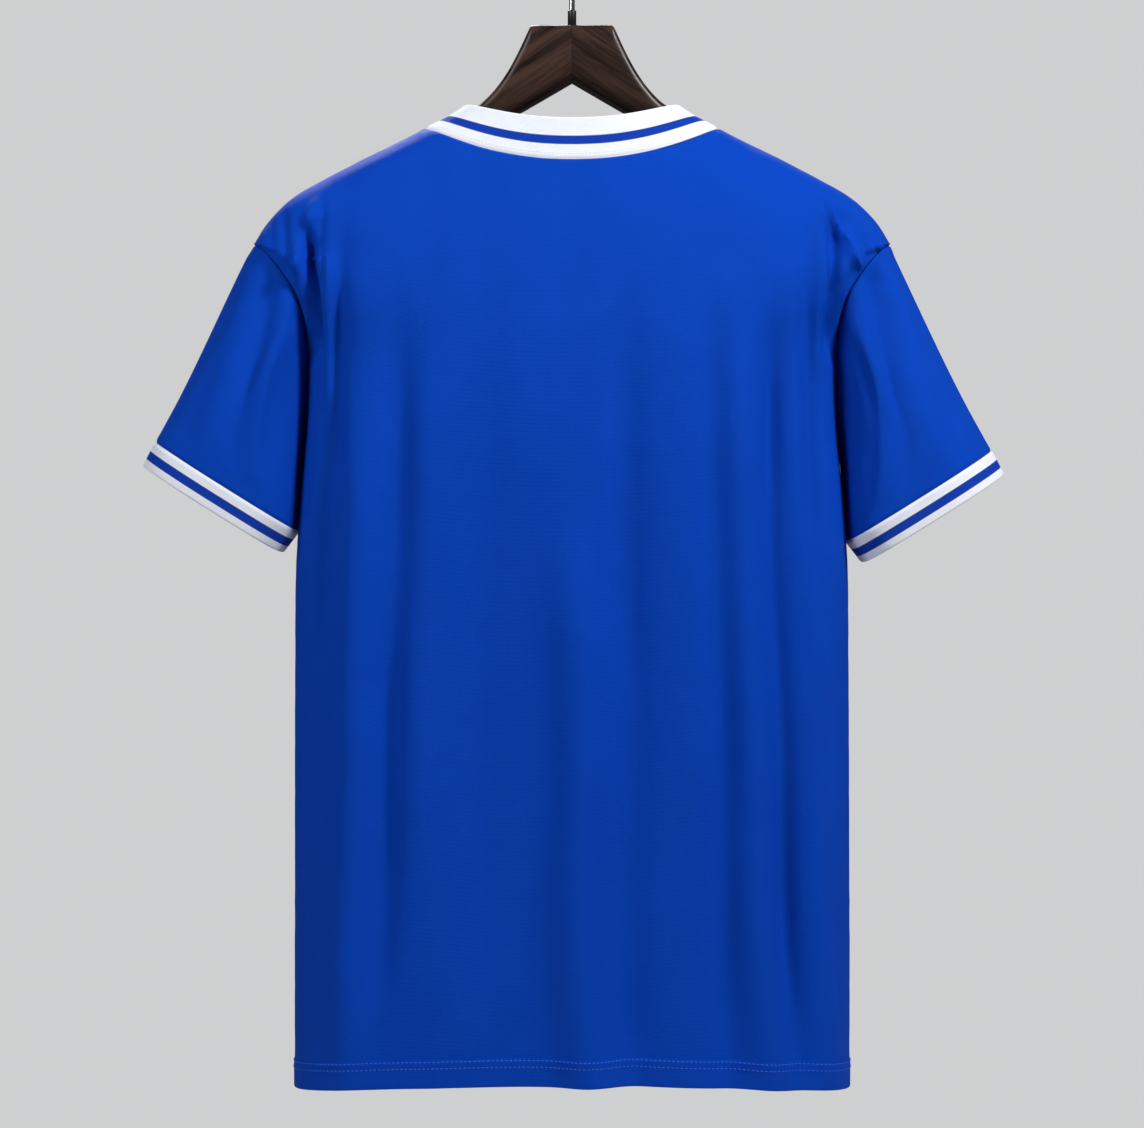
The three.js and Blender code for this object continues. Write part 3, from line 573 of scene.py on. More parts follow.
# Round of a sleeve's end, evenly spread in each quarter: an ellipse on the outer side and
# squarer on the side that lies against the body
def cuffRound(sleeve, count):
    quarter = count // 4
    turn = np.linspace(0, np.pi / 2, 600)
    ring = []
    for square in (2.0, sleeves["innerSquare"]):
        curve = np.stack([np.cos(turn) ** (2 / square) * sleeve["halfLength"],
                          np.sin(turn) ** (2 / square) * sleeve["halfDepth"], turn * 0], axis=1)
        ring.append(pointsAt(curve, np.linspace(0, lengthAlong(curve)[-1], quarter + 1)))
    outer, inner = ring
    backHalf = np.vstack([outer[:-1], (inner * [-1, 1, 1])[::-1]])
    frontHalf = (backHalf * [1, -1, 1])[1:-1][::-1]
    return np.vstack([backHalf, frontHalf])


def cuffRing(sleeve, along, scale, count):
    tip = sleeves["cuffTip"]
    ring = cuffRound(sleeve, count)
    outwards = ring[:, 0] * scale
    back = ring[:, 1] * scale
    middleOut = sleeve["cuffOut"] + math.sin(tip) * along
    middleDown = sleeve["cuffDown"] + math.cos(tip) * along
    return np.stack([middleOut + outwards * math.cos(tip), back,
                     -middleDown + outwards * math.sin(tip)], axis=1)


def cuffFaces(sleeve, count):
    tip = sleeves["cuffTip"]
    ring = cuffRound(sleeve, count)
    along = np.roll(ring, -1, axis=0) - np.roll(ring, 1, axis=0)
    outwards, back = along[:, 1], -along[:, 0]
    return unit(np.stack([outwards * math.cos(tip), back, outwards * math.sin(tip)], axis=1))


# Sleeve on the left side, from the armhole to the cuff; row 0 is at the cuff
def drapedSleeve(name, seed):
    sleeve = sleeves[name]
    count = len(loop)
    ring = cuffRing(sleeve, 0, 1, count)
    tip = sleeves["cuffTip"]
    axis = np.array([math.sin(tip), 0, -math.cos(tip)])
    under = ((1 - np.cos(2 * np.pi * np.arange(count) / count)) / 2)[:, None]
    outerLine = unit(ring[0] - loop[0])
    leave = unit(mix(outerLine, np.array([0.12, 0, -1]), under))
    arrive = unit(mix(axis, np.array([0.06, 0, -1.0]), under))
    dive = loopDive[:, None]
    sideways = np.sign(loop[:, 1:2]) * np.array([0, 1.0, 0]) + np.array([0.42, 0, -0.3])
    leave = unit(mix(leave, sideways, dive))
    pull = mix(mix(sleeves["topPull"], sleeves["underPull"], np.sqrt(under)), sleeves["divePull"], dive)
    start = loop + leave * pull
    end = ring - arrive * mix(sleeves["cuffPull"], sleeves["underCuffPull"], under * under)
    near = np.array([0, 0.004, 0.009, 0.015, 0.024, 0.036, 0.05])
    steps = np.concatenate([near, np.linspace(0.064, 0.936, sleeves["rings"]), 1 - near[::-1]])
    t = steps[:, None, None]
    grid = ((1 - t) ** 3 * loop + 3 * (1 - t) ** 2 * t * start
            + 3 * (1 - t) * t * t * end + t ** 3 * ring)
    normals = gridNormals(grid, 1, around=True)
    turn = np.tile(360 * np.arange(count) / count, (len(steps), 1))
    along = np.tile(steps[:, None], (1, count))
    travelled = np.concatenate([np.zeros((1, count)),
                                np.cumsum(np.linalg.norm(np.diff(grid, axis=0), axis=2), axis=0)])
    toCuff = travelled[-1:] - travelled
    moved = np.zeros_like(turn)
    for fold in rowsOf(sleeveFolds[name]):
        part = np.clip((along - fold["start"]) / (fold["end"] - fold["start"]), 0, 1)
        middle = mix(fold["turn"], fold["endTurn"], along) + 4 * unevenness(along * 3, turn * 0 + 2, seed)
        off = (turn - middle) / fold["width"]
        moved += fold["depth"] * np.sin(np.pi * part) * np.exp(-off * off)
    fade = ease(travelled / 12) * ease(toCuff / 22)
    circle = np.cos(np.radians(turn)) * 3 + 9, np.sin(np.radians(turn)) * 3 + 9
    moved = moved * fade
    moved += 0.9 * fade * unevenness(circle[0] + along * 0.7, circle[1], seed + 1)
    gather = np.exp(-toCuff / 20) * ease(toCuff / 5)
    moved += 0.5 * gather * unevenness(turn / 9, toCuff / 60, seed + 2)
    nearSeam = 0.5 * np.exp(-travelled / 16) * ease(travelled / 4)
    moved += nearSeam * unevenness(turn / 7, travelled / 50, seed + 3)
    dip = np.exp(-(travelled / drape["seamDipWidth"]) ** 2) + np.exp(-(toCuff / drape["seamDipWidth"]) ** 2)
    underSeam = np.exp(-((turn - 180) / 1.6) ** 2)
    moved -= drape["seamDip"] * np.maximum(dip, 0.8 * underSeam)
    shaped = grid + normals * moved[..., None]
    faces = gridNormals(shaped, 1, around=True)
    faces[0] = loopFaces
    faces[-1] = cuffFaces(sleeve, count)
    inner = shaped - faces * garment["clothWall"]
    closedRing = np.vstack([ring, ring[:1]])
    around = np.concatenate([[0], np.cumsum(np.linalg.norm(np.diff(closedRing, axis=0), axis=1))])
    sizes = np.stack([np.tile(around, (len(steps), 1)),
                      np.concatenate([toCuff, toCuff[:, :1]], axis=1)], axis=2)
    return {"outer": shaped[::-1], "inner": inner[::-1], "sizes": sizes[::-1], "base": grid}


def cuffBand(name):
    sleeve = sleeves[name]
    count = len(loop)
    steps = np.concatenate([[0, 0.6, 1.2, 2], np.linspace(3, sleeves["cuffDepth"] - 1, 16)])
    depth = sleeves["cuffDepth"]
    grid = np.array([cuffRing(sleeve, s, mix(1, sleeves["cuffTaper"], s / depth), count) for s in steps])
    faces = cuffFaces(sleeve, count)
    moved = ribs["proud"] - ribs["seamDip"] * np.exp(-(steps / drape["seamDipWidth"]) ** 2)
    outer = grid + faces * moved[:, None, None]
    inner = outer - faces * ribs["wall"]
    closedRing = np.vstack([grid[0], grid[0, :1]])
    around = np.concatenate([[0], np.cumsum(np.linalg.norm(np.diff(closedRing, axis=0), axis=1))])
    sizes = np.stack([np.tile(around, (len(steps), 1)),
                      np.tile(steps[:, None], (1, count + 1))], axis=2)
    return {"outer": outer[::-1], "inner": inner[::-1], "sizes": sizes[::-1], "base": grid}


# Collar: a ring of rib that rises from the neckline and leans in towards the neck
def collarBand():
    back, front = panels["backPanel"], panels["frontPanel"]
    seam = np.vstack([back["base"][-1], front["base"][-1][1:-1][::-1]])
    backFaces = gridNormals(back["base"], 1)[-1]
    frontFaces = gridNormals(front["base"], -1)[-1]
    for faces, source in ((backFaces, back), (frontFaces, front)):
        faces[0], faces[-1] = source["normals"][-1, 0], source["normals"][-1, -1]
    faces = np.vstack([backFaces, frontFaces[1:-1][::-1]])
    for _ in range(6):
        faces = unit(np.roll(faces, 1, axis=0) + 2 * faces + np.roll(faces, -1, axis=0))
    along = unit(np.roll(seam, -1, axis=0) - np.roll(seam, 1, axis=0))
    rise = unit(np.cross(faces, along))
    rise[rise[:, 2] < 0] *= -1
    for _ in range(3):
        rise = unit(np.roll(rise, 1, axis=0) + 2 * rise + np.roll(rise, -1, axis=0))
    width = ribs["collarWidth"]
    steps = np.concatenate([[0, 0.6, 1.2, 2], np.linspace(3, width - 1, 22)])
    moved = ribs["proud"] - ribs["seamDip"] * np.exp(-(steps / drape["seamDipWidth"]) ** 2)
    grid = seam + rise * steps[:, None, None]
    outer = grid + faces * moved[:, None, None]
    inner = outer - faces * ribs["wall"]
    closed = np.vstack([seam, seam[:1]])
    sizes = np.stack([np.tile(lengthAlong(closed), (len(steps), 1)),
                      np.tile(steps[:, None], (1, len(closed)))], axis=2)
    return {"outer": outer[::-1], "inner": inner[::-1], "sizes": sizes[::-1], "base": grid, "faces": faces}


print("garment: meshes")
pieces = {}
for name, panel in panels.items():
    strip = foldedStrip(panel["outer"], panel["inner"])
    pieces[name] = clothMesh(name, strip, stripSizes(panel["sizes"]), around=False)
    print(name, "area", round(areaOf(panel["outer"]), 4))


def mirrored(band, side):
    if side > 0:
        return band
    flip = np.array([-1.0, 1, 1])
    return {**band, "outer": band["outer"] * flip, "inner": band["inner"] * flip}


for name, sleeveSeed in (("left", 31), ("right", 47)):
    side = sleeves[name]["side"]
    for pieceName, band in (("sleeve", drapedSleeve(name, sleeveSeed)), ("cuff", cuffBand(name))):
        band = mirrored(band, side)
        strip = foldedStrip(band["outer"], band["inner"])
        label = pieceName + name.capitalize()
        pieces[label] = clothMesh(label, strip, stripSizes(band["sizes"]), around=True)
        print(label, "area", round(areaOf(band["outer"], True), 4))
collar = collarBand()
pieces["ribCollar"] = clothMesh("ribCollar", foldedStrip(collar["outer"], collar["inner"]),
                                stripSizes(collar["sizes"]), around=True)
print("collar area", round(areaOf(collar["outer"], True), 4))

# Hanger: upper and lower edge and half its depth at each distance from the middle
hanger = {
    "profile": table(
        "out top low halfDepth square",
        (0, 78, 120, 12.5, 5),
        (14, 78, 128.2, 12.5, 5),
        (28.6, 78, 136.7, 12.5, 5),
        (30.6, 78.8, 137.8, 12.5, 5),
        (32, 81, 138.7, 12.4, 5),
        (39, 96, 142.7, 12.2, 4.5),
        (47, 111, 147.4, 12, 4),
        (56, 124, 152.6, 11.8, 3.6),
        (66, 134.4, 158.5, 11.5, 3.2),
        (78, 142.4, 165.5, 11.2, 2.8),
    ),
    "arm": table(
        "out full",
        (95, 1),
        (115, 1),
        (135, 1),
        (155, 1),
        (175, 1),
        (190, 0.97),
        (200, 0.9),
        (207, 0.76),
        (212, 0.54),
        (215, 0.3),
    ),
    "halfSpan": 215,
    "underSlope": 0.585,
    "underCloth": 0.6,
    "neckDepth": 11,
    "endDepth": 12.5,
    "armSquare": 2.4,
    "sides": 56,
}
hook = {"wire": 4.2, "inside": 19, "neckBend": 9, "endAngle": math.radians(205), "sink": 22, "sides": 20}
ferrule = {"outer": 6.4, "height": 11.6, "gap": 0.3, "lip": 0.9, "sides": 48}


def plainMesh(name, points, faces, angle=40):
    mesh = bpy.data.meshes.new(name)
    mesh.from_pydata((np.asarray(points) * mm).tolist(), [], faces)
    mesh.polygons.foreach_set("use_smooth", np.ones(len(faces), bool))
    mesh.set_sharp_from_angle(angle=math.radians(angle))
    return addPiece(name, mesh)


# Sections joined into one closed body, with a fan of faces over each end
def lofted(name, sections, angle=40):
    rows, sides = sections.shape[:2]
    faces = []
    for i in range(rows - 1):
        for k in range(sides):
            a, b = i * sides + k, i * sides + (k + 1) % sides
            faces.append((a, b, b + sides, a + sides))
    faces.append(tuple(range(sides))[::-1])
    faces.append(tuple((rows - 1) * sides + k for k in range(sides)))
    return plainMesh(name, sections.reshape(-1, 3), faces, angle)


def hangerStations():
    profile, arm = hanger["profile"], hanger["arm"]
    outs = np.concatenate([np.linspace(0, 28, 15), np.linspace(28.6, 32, 8), np.linspace(33, 78, 28)])
    readings = ("top", "low", "halfDepth", "square")
    stations = [[out] + [float(readTable(profile, "out", out, c)) for c in readings]
                for out in outs]
    seam = garment["shoulder"]
    seamDown = lambda out: float(readTable(seam, "out", out, "down"))
    neckOut = profile["out"][-1]
    for out in np.concatenate([np.linspace(84, 190, 20), np.linspace(194, 212, 10), [213.4, 214.4, 215]]):
        full = float(readTable(arm, "out", max(out, 95), "full"))
        t = (out - neckOut) / (hanger["halfSpan"] - neckOut)
        cloth = ribs["wall"] + 0.2 if out < seam["out"][0] else 1.5
        slope = (seamDown(out + 1) - seamDown(out - 1)) / 2
        top = seamDown(out) + (cloth + hanger["underCloth"]) * math.hypot(1, slope)
        if out < 95:
            near = 1 - (out - neckOut) / (95 - neckOut)
            edge = seamDown(95) + (cloth + hanger["underCloth"]) * math.hypot(1, slope)
            top = mix(edge, profile["top"][-1], near)
        low = profile["low"][0] + hanger["underSlope"] * out
        shrink = (1 - full) * (low - top) / 2
        halfDepth = mix(hanger["neckDepth"], hanger["endDepth"], t) * full
        square = mix(2.8, hanger["armSquare"], min(1, (out - neckOut) / 17))
        stations.append([out, top + shrink, low - shrink, halfDepth, square])
    return np.array(stations)


def hangerWood():
    half = hangerStations()
    stations = np.vstack([(half * [-1, 1, 1, 1, 1])[1:][::-1], half])
    turn = 2 * np.pi * (np.arange(hanger["sides"]) + 0.5) / hanger["sides"]
    sections = []
    for out, top, low, halfDepth, square in stations:
        power = 2 / square
        back = np.sign(np.cos(turn)) * np.abs(np.cos(turn)) ** power * halfDepth
        up = np.sign(np.sin(turn)) * np.abs(np.sin(turn)) ** power * (low - top) / 2
        sections.append(np.stack([np.full_like(turn, out), back, -(top + low) / 2 + up], axis=1))
    return lofted("hangerWood", np.array(sections), 45)


# Centre line of the hook: straight shank, a bend to one side, then round over the rail
def hookLine():
    radius = hook["inside"] + hook["wire"] / 2
    bendRadius = hook["neckBend"]
    bendDown = hook["inside"] + math.sqrt((radius + bendRadius) ** 2 - bendRadius ** 2)
    meet = math.atan2(-(bendDown - hook["inside"]), bendRadius)
    bottom = hanger["profile"]["top"][0] + hook["sink"]
    shank = np.stack([np.zeros(8), np.zeros(8), -np.linspace(bottom, bendDown, 8)], axis=1)
    turn = np.linspace(math.pi, meet + math.pi, 14)[1:]
    bendOut = bendRadius + bendRadius * np.cos(turn)
    bend = np.stack([bendOut, turn * 0, -bendDown + bendRadius * np.sin(turn)], axis=1)
    turn = np.linspace(meet, hook["endAngle"], 72)[1:]
    bow = np.stack([radius * np.cos(turn), turn * 0, -hook["inside"] + radius * np.sin(turn)], axis=1)
    return np.vstack([shank, bend, bow])


def hookWire():
    line = hookLine()
    along = unit(np.gradient(line, axis=0))
    acrossLine = np.stack([along[:, 2], along[:, 1] * 0, -along[:, 0]], axis=1)
    turn = 2 * np.pi * np.arange(hook["sides"]) / hook["sides"]
    radius = hook["wire"] / 2
    ball = radius + 0.5
    rings = [p + radius * (np.cos(turn)[:, None] * side + np.sin(turn)[:, None] * [0, 1, 0])
             for p, side in zip(line, acrossLine)]
    for a in np.linspace(math.radians(50), math.radians(4), 9):  # ball tip
        rim = np.cos(turn)[:, None] * acrossLine[-1] + np.sin(turn)[:, None] * [0, 1, 0]
        rings.append(line[-1] + ball * (math.cos(a) * along[-1] + math.sin(a) * rim))
    return lofted("hangerHook", np.array(rings), 60)


def ferruleSleeve():
    low = -hanger["profile"]["top"][0] + ferrule["gap"]
    high = low + ferrule["height"]
    outer, lip = ferrule["outer"] / 2, ferrule["lip"]
    heights = [(outer - 0.25, low), (outer, low + 0.25), (outer, high - lip)]
    heights += [(outer - lip + lip * math.cos(a), high - lip + lip * math.sin(a))
                for a in np.linspace(0.2, math.pi / 2, 6)]
    heights += [(hook["wire"] / 2 - 0.2, high)]
    turn = 2 * np.pi * np.arange(ferrule["sides"]) / ferrule["sides"]
    rings = [np.stack([r * np.cos(turn), r * np.sin(turn), np.full_like(turn, z)], axis=1)
             for r, z in heights]
    return lofted("hangerFerrule", np.array(rings), 50)


pieces["hangerWood"] = hangerWood()
pieces["hangerHook"] = hookWire()
pieces["hangerFerrule"] = ferruleSleeve()

# Stitches, each a small rounded bead of thread that lies along its seam
stitching = {
    "hemHeights": [13.6, 18.4],
    "hemLength": 2.5,
    "hemPitch": 3.3,
    "hemThread": 0.42,
    "collarLength": 2.2,
    "collarPitch": 3.0,
    "collarThread": 0.36,
}


def stitchRow(line, faces, length, pitch, thread):
    reach = lengthAlong(line)
    starts = np.arange(pitch / 2, reach[-1] - pitch / 2, pitch)
    place = pointsAt(line, starts)
    ahead = pointsAt(line, starts + pitch * 0.3)
    up = unit(np.stack([np.interp(starts, reach, faces[:, k]) for k in range(3)], axis=1))
    along = unit(ahead - place)
    across = unit(np.cross(up, along))
    sides, rings = 6, [(-0.5, 0.25), (-0.36, 0.85), (0, 1), (0.36, 0.85), (0.5, 0.25)]
    turn = 2 * np.pi * np.arange(sides) / sides
    points, faceList = [], []
    for s in range(len(starts)):
        first = len(points)
        for t, wide in rings:
            centre = place[s] + along[s] * length * t + up[s] * thread * (0.25 - 0.9 * (2 * t) ** 2)
            for a in turn:
                radius = thread * wide
                points.append(centre + across[s] * radius * math.cos(a) + up[s] * radius * math.sin(a))
        for r in range(len(rings) - 1):
            for k in range(sides):
                a, b = first + r * sides + k, first + r * sides + (k + 1) % sides
                faceList.append((a, b, b + sides, a + sides))
        faceList.append(tuple(first + k for k in range(sides))[::-1])
        faceList.append(tuple(first + (len(rings) - 1) * sides + k for k in range(sides)))
    return np.array(points), faceList


def joinedStitches(name, rows):
    points, faces = [], []
    count = 0
    for rowPoints, rowFaces in rows:
        points.append(rowPoints)
        faces += [tuple(count + i for i in face) for face in rowFaces]
        count += len(rowPoints)
    return plainMesh(name, np.vstack(points), faces, 80)


def hemLine(panel, height):
    heights = hemRowHeights
    row = int(np.searchsorted(heights, height) - 1)
    t = (height - heights[row]) / (heights[row + 1] - heights[row])
    line = mix(panel["outer"][row], panel["outer"][row + 1], t)
    return line[2:-2], panel["normals"][row][2:-2]


hemStitches = {}
for name in panels:
    rows = []
    for height in stitching["hemHeights"]:
        line, faces = hemLine(panels[name], height)
        rows.append(stitchRow(line, faces, stitching["hemLength"], stitching["hemPitch"],
                              stitching["hemThread"]))
    label = name.replace("Panel", "HemStitches")
    hemStitches[name] = joinedStitches(label, rows)
    pieces[label] = hemStitches[name]

rowFromSeam = 5
collarLine = collar["outer"][::-1][rowFromSeam]
collarLine = np.vstack([collarLine, collarLine[:1]])
collarFaces = np.vstack([collar["faces"], collar["faces"][:1]])
pieces["collarStitches"] = joinedStitches("collarStitches", [stitchRow(
    collarLine, collarFaces, stitching["collarLength"], stitching["collarPitch"],
    stitching["collarThread"])])

print("materials")


def newMaterial(name, roughness, metallic=0.0, specular=0.5):
    material = bpy.data.materials.new(name)
    material.use_nodes = True
    shader = material.node_tree.nodes["Principled BSDF"]
    shader.inputs["Roughness"].default_value = roughness
    shader.inputs["Metallic"].default_value = metallic
    shader.inputs["Specular IOR Level"].default_value = specular
    return material, material.node_tree, shader


def darker(colour, share):
    return tuple(share * c for c in colour[:3]) + (1,)


class Nodes:
    def __init__(self, tree):
        self.tree = tree

    def add(self, kind, **settings):
        node = self.tree.nodes.new(kind)
        for key, value in settings.items():
            setattr(node, key, value)
        return node

    def put(self, value, socket):
        if isinstance(value, bpy.types.NodeSocket):
            self.tree.links.new(value, socket)
        else:
            socket.default_value = value

    def math(self, operation, *values):
        node = self.add("ShaderNodeMath", operation=operation)
        for value, socket in zip(values, node.inputs):
            self.put(value, socket)
        return node.outputs[0]

    def noise(self, vector, scale, detail=2, roughness=0.5):
        node = self.add("ShaderNodeTexNoise")
        self.put(vector, node.inputs["Vector"])
        node.inputs["Scale"].default_value = scale
        node.inputs["Detail"].default_value = detail
        node.inputs["Roughness"].default_value = roughness
        return node.outputs["Fac"]

    def mixColour(self, factor, a, b, blend="MIX"):
        node = self.add("ShaderNodeMix", data_type="RGBA", blend_type=blend)
        self.put(factor, node.inputs[0])
        self.put(a, node.inputs[6])
        self.put(b, node.inputs[7])
        return node.outputs[2]

    def between(self, value, low, high, newLow=0.0, newHigh=1.0):
        node = self.add("ShaderNodeMapRange", interpolation_type="SMOOTHSTEP")
        for item, socket in zip((value, low, high, newLow, newHigh), node.inputs):
            self.put(item, socket)
        return node.outputs[0]

    def bump(self, height, strength, distance, before=None):
        node = self.add("ShaderNodeBump")
        self.put(height, node.inputs["Height"])
        node.inputs["Strength"].default_value = strength
        node.inputs["Distance"].default_value = distance
        if before is not None:
            self.put(before, node.inputs["Normal"])
        return node.outputs[0]

    def clothSize(self):
        place = self.add("ShaderNodeUVMap", uv_map="clothSize").outputs[0]
        split = self.add("ShaderNodeSeparateXYZ")
        self.put(place, split.inputs[0])
        return place, split.outputs[0], split.outputs[1]


# Jersey colours: the blue, and a darker blue that the painted shade between knit loops and the random darker
# tone reach
knit = {
    "blue": (0.0022, 0.050, 0.43, 1),
    "paintedShadeAndDeepBlue": (0.0012, 0.036, 0.34, 1),
    "walePitch": 1.15,
    "coursePitch": 0.95,
    "relief": 0.22,
    "roughness": 0.5,
    "shine": (0.1, 0.4, 1, 1),
}
# Rib colours: white and blue, each with a darker colour that the painted shade between knit loops and the
# random darker tone reach
ribKnit = {
    "white": (0.79, 0.82, 0.88, 1),
    "paintedShadeAndTone": (0.62, 0.66, 0.76, 1),
    "blue": (0.0016, 0.040, 0.37, 1),
    "paintedShadeAndDeepBlue": (0.0010, 0.028, 0.28, 1),
    "pitch": 1.5,
    "relief": 0.3,
    "collarStripe": (11.0, 17.6),
    "cuffStripe": (7.5, 14.1),
    "edgeSoftness": 0.3,
}


# Knitted face: columns of small V shapes that lean on each other
def knitHeight(nodes, across, along, wale, course):
    column = nodes.math("DIVIDE", across, wale)
    fromMiddle = nodes.math("ABSOLUTE", nodes.math("SUBTRACT", nodes.math("FRACT", column), 0.5))
    row = nodes.math("ADD", nodes.math("DIVIDE", along, course), nodes.math("MULTIPLY", fromMiddle, 1.1))
    loopRow = nodes.math("SINE", nodes.math("MULTIPLY", nodes.math("FRACT", row), math.pi))
    loopColumn = nodes.math("SINE", nodes.math("MULTIPLY", fromMiddle, 2 * math.pi))
    return nodes.math("MULTIPLY", nodes.math("POWER", loopRow, 0.6), nodes.math("ADD", 0.35, loopColumn))


def jerseyCloth():
    material, tree, shader = newMaterial("jerseyCloth", knit["roughness"], specular=0.13)
    nodes = Nodes(tree)
    place, across, along = nodes.clothSize()
    height = knitHeight(nodes, across, along, knit["walePitch"], knit["coursePitch"])
    # Painted shade: the colour darkens in the hollows between knit loops, following the knit height that also
    # drives the bump, mixed with a random cloudy tone
    paintedStitchShade = nodes.between(height, 0.1, 1.2, 0.0, 1.0)
    cloudy = nodes.noise(place, 0.028, 3, 0.55)
    paintedShadeAndTone = nodes.math("ADD", nodes.math("MULTIPLY", paintedStitchShade, 0.6), nodes.math("MULTIPLY", cloudy, 0.5))
    colour = nodes.mixColour(paintedShadeAndTone, knit["paintedShadeAndDeepBlue"], knit["blue"])
    nodes.put(colour, shader.inputs["Base Color"])
    fibre = nodes.noise(place, 2.4, 2, 0.6)
    rough = nodes.math("ADD", knit["roughness"] - 0.06, nodes.math("MULTIPLY", fibre, 0.12))
    nodes.put(rough, shader.inputs["Roughness"])
    shader.inputs["Specular Tint"].default_value = knit["shine"]
    soft = nodes.bump(cloudy, 0.25, 1.2 * mm)
    nodes.put(nodes.bump(height, 0.8, knit["relief"] * mm, soft), shader.inputs["Normal"])
    return material


def stripedRib(name, stripe):
    material, tree, shader = newMaterial(name, 0.66, specular=0.1)
    nodes = Nodes(tree)
    place, across, along = nodes.clothSize()
    low, high = stripe
    soft = ribKnit["edgeSoftness"]
    inside = nodes.math("MULTIPLY", nodes.between(along, low - soft, low + soft),
                        nodes.between(along, high - soft, high + soft, 1.0, 0.0))
    height = knitHeight(nodes, across, along, ribKnit["pitch"], 0.9)
    # Painted shade: the white and the blue darken in the hollows between knit loops, following the knit
    # height that also drives the bump, mixed with a random cloudy tone
    paintedStitchShade = nodes.between(height, 0.05, 1.1, 0.0, 1.0)
    cloudy = nodes.noise(place, 0.08, 3, 0.55)
    paintedShadeAndTone = nodes.math("ADD", nodes.math("MULTIPLY", paintedStitchShade, 0.7), nodes.math("MULTIPLY", cloudy, 0.4))
    white = nodes.mixColour(paintedShadeAndTone, ribKnit["paintedShadeAndTone"], ribKnit["white"])
    blue = nodes.mixColour(paintedShadeAndTone, ribKnit["paintedShadeAndDeepBlue"], ribKnit["blue"])
    nodes.put(nodes.mixColour(inside, white, blue), shader.inputs["Base Color"])
    nodes.put(nodes.bump(height, 0.8, ribKnit["relief"] * mm), shader.inputs["Normal"])
    return material


def thread(name, colour):
    material, tree, shader = newMaterial(name, 0.5, specular=0.4)
    nodes = Nodes(tree)
    place = nodes.add("ShaderNodeTexCoord").outputs["Object"]
    twist = nodes.noise(place, 1400, 2, 0.5)
    nodes.put(nodes.mixColour(twist, darker(colour, 0.7), colour), shader.inputs["Base Color"])
    nodes.put(nodes.bump(twist, 0.4, 0.1 * mm), shader.inputs["Normal"])
    return material


walnut = {
    "dark": (0.010, 0.0052, 0.0042, 1),
    "light": (0.044, 0.0215, 0.0155, 1),
    "grainAngle": math.radians(34),
    "grainScale": (9.0, 150.0, 60.0),
    "halvesDiffer": 3.0,
    "roughness": 0.34,
}


# Stained wood whose two halves meet at a mitre, with the grain along each arm
def stainedWood():
    material, tree, shader = newMaterial("stainedWood", walnut["roughness"], specular=0.22)
    nodes = Nodes(tree)
    place = nodes.add("ShaderNodeTexCoord").outputs["Object"]
    split = nodes.add("ShaderNodeSeparateXYZ")
    nodes.put(place, split.inputs[0])
    out = nodes.math("ABSOLUTE", split.outputs[0])
    side = nodes.math("SIGN", split.outputs[0])
    c, s = math.cos(walnut["grainAngle"]), math.sin(walnut["grainAngle"])
    along = nodes.math("SUBTRACT", nodes.math("MULTIPLY", out, c),
                       nodes.math("MULTIPLY", split.outputs[2], s))
    across = nodes.math("ADD", nodes.math("MULTIPLY", out, s), nodes.math("MULTIPLY", split.outputs[2], c))
    grain = nodes.add("ShaderNodeCombineXYZ")
    scaleAlong, scaleAcross, scaleDeep = walnut["grainScale"]
    nodes.put(nodes.math("MULTIPLY", along, scaleAlong), grain.inputs[0])
    nodes.put(nodes.math("MULTIPLY", across, scaleAcross), grain.inputs[1])
    deep = nodes.math("ADD", nodes.math("MULTIPLY", split.outputs[1], scaleDeep),
                      nodes.math("MULTIPLY", side, walnut["halvesDiffer"]))
    nodes.put(deep, grain.inputs[2])
    bands = nodes.noise(grain.outputs[0], 1.0, 4, 0.6)
    poreSpot = nodes.noise(grain.outputs[0], 4.5, 3, 0.65)
    tone = nodes.between(bands, 0.32, 0.68, 0.0, 1.0)
    colour = nodes.mixColour(tone, walnut["dark"], walnut["light"])
    pores = nodes.between(poreSpot, 0.36, 0.5, 0.55, 1.0)
    colour = nodes.mixColour(1.0, colour, pores, "MULTIPLY")
    mitre = nodes.between(out, 0.0, 0.00035, 0.25, 1.0)
    nodes.put(nodes.mixColour(1.0, colour, mitre, "MULTIPLY"), shader.inputs["Base Color"])
    rough = nodes.math("ADD", walnut["roughness"] - 0.04, nodes.math("MULTIPLY", bands, 0.14))
    nodes.put(rough, shader.inputs["Roughness"])
    nodes.put(nodes.bump(poreSpot, 0.35, 0.25 * mm), shader.inputs["Normal"])
    return material


def metalFinish(name, colour, roughness, metallic, scratch):
    material, tree, shader = newMaterial(name, roughness, metallic)
    nodes = Nodes(tree)
    place = nodes.add("ShaderNodeTexCoord").outputs["Object"]
    wear = nodes.noise(place, 260, 3, 0.6)
    nodes.put(nodes.mixColour(wear, darker(colour, 0.82), colour), shader.inputs["Base Color"])
    nodes.put(nodes.math("ADD", roughness, nodes.math("MULTIPLY", wear, scratch)), shader.inputs["Roughness"])
    nodes.put(nodes.bump(nodes.noise(place, 900, 2, 0.5), 0.15, 0.05 * mm), shader.inputs["Normal"])
    return material


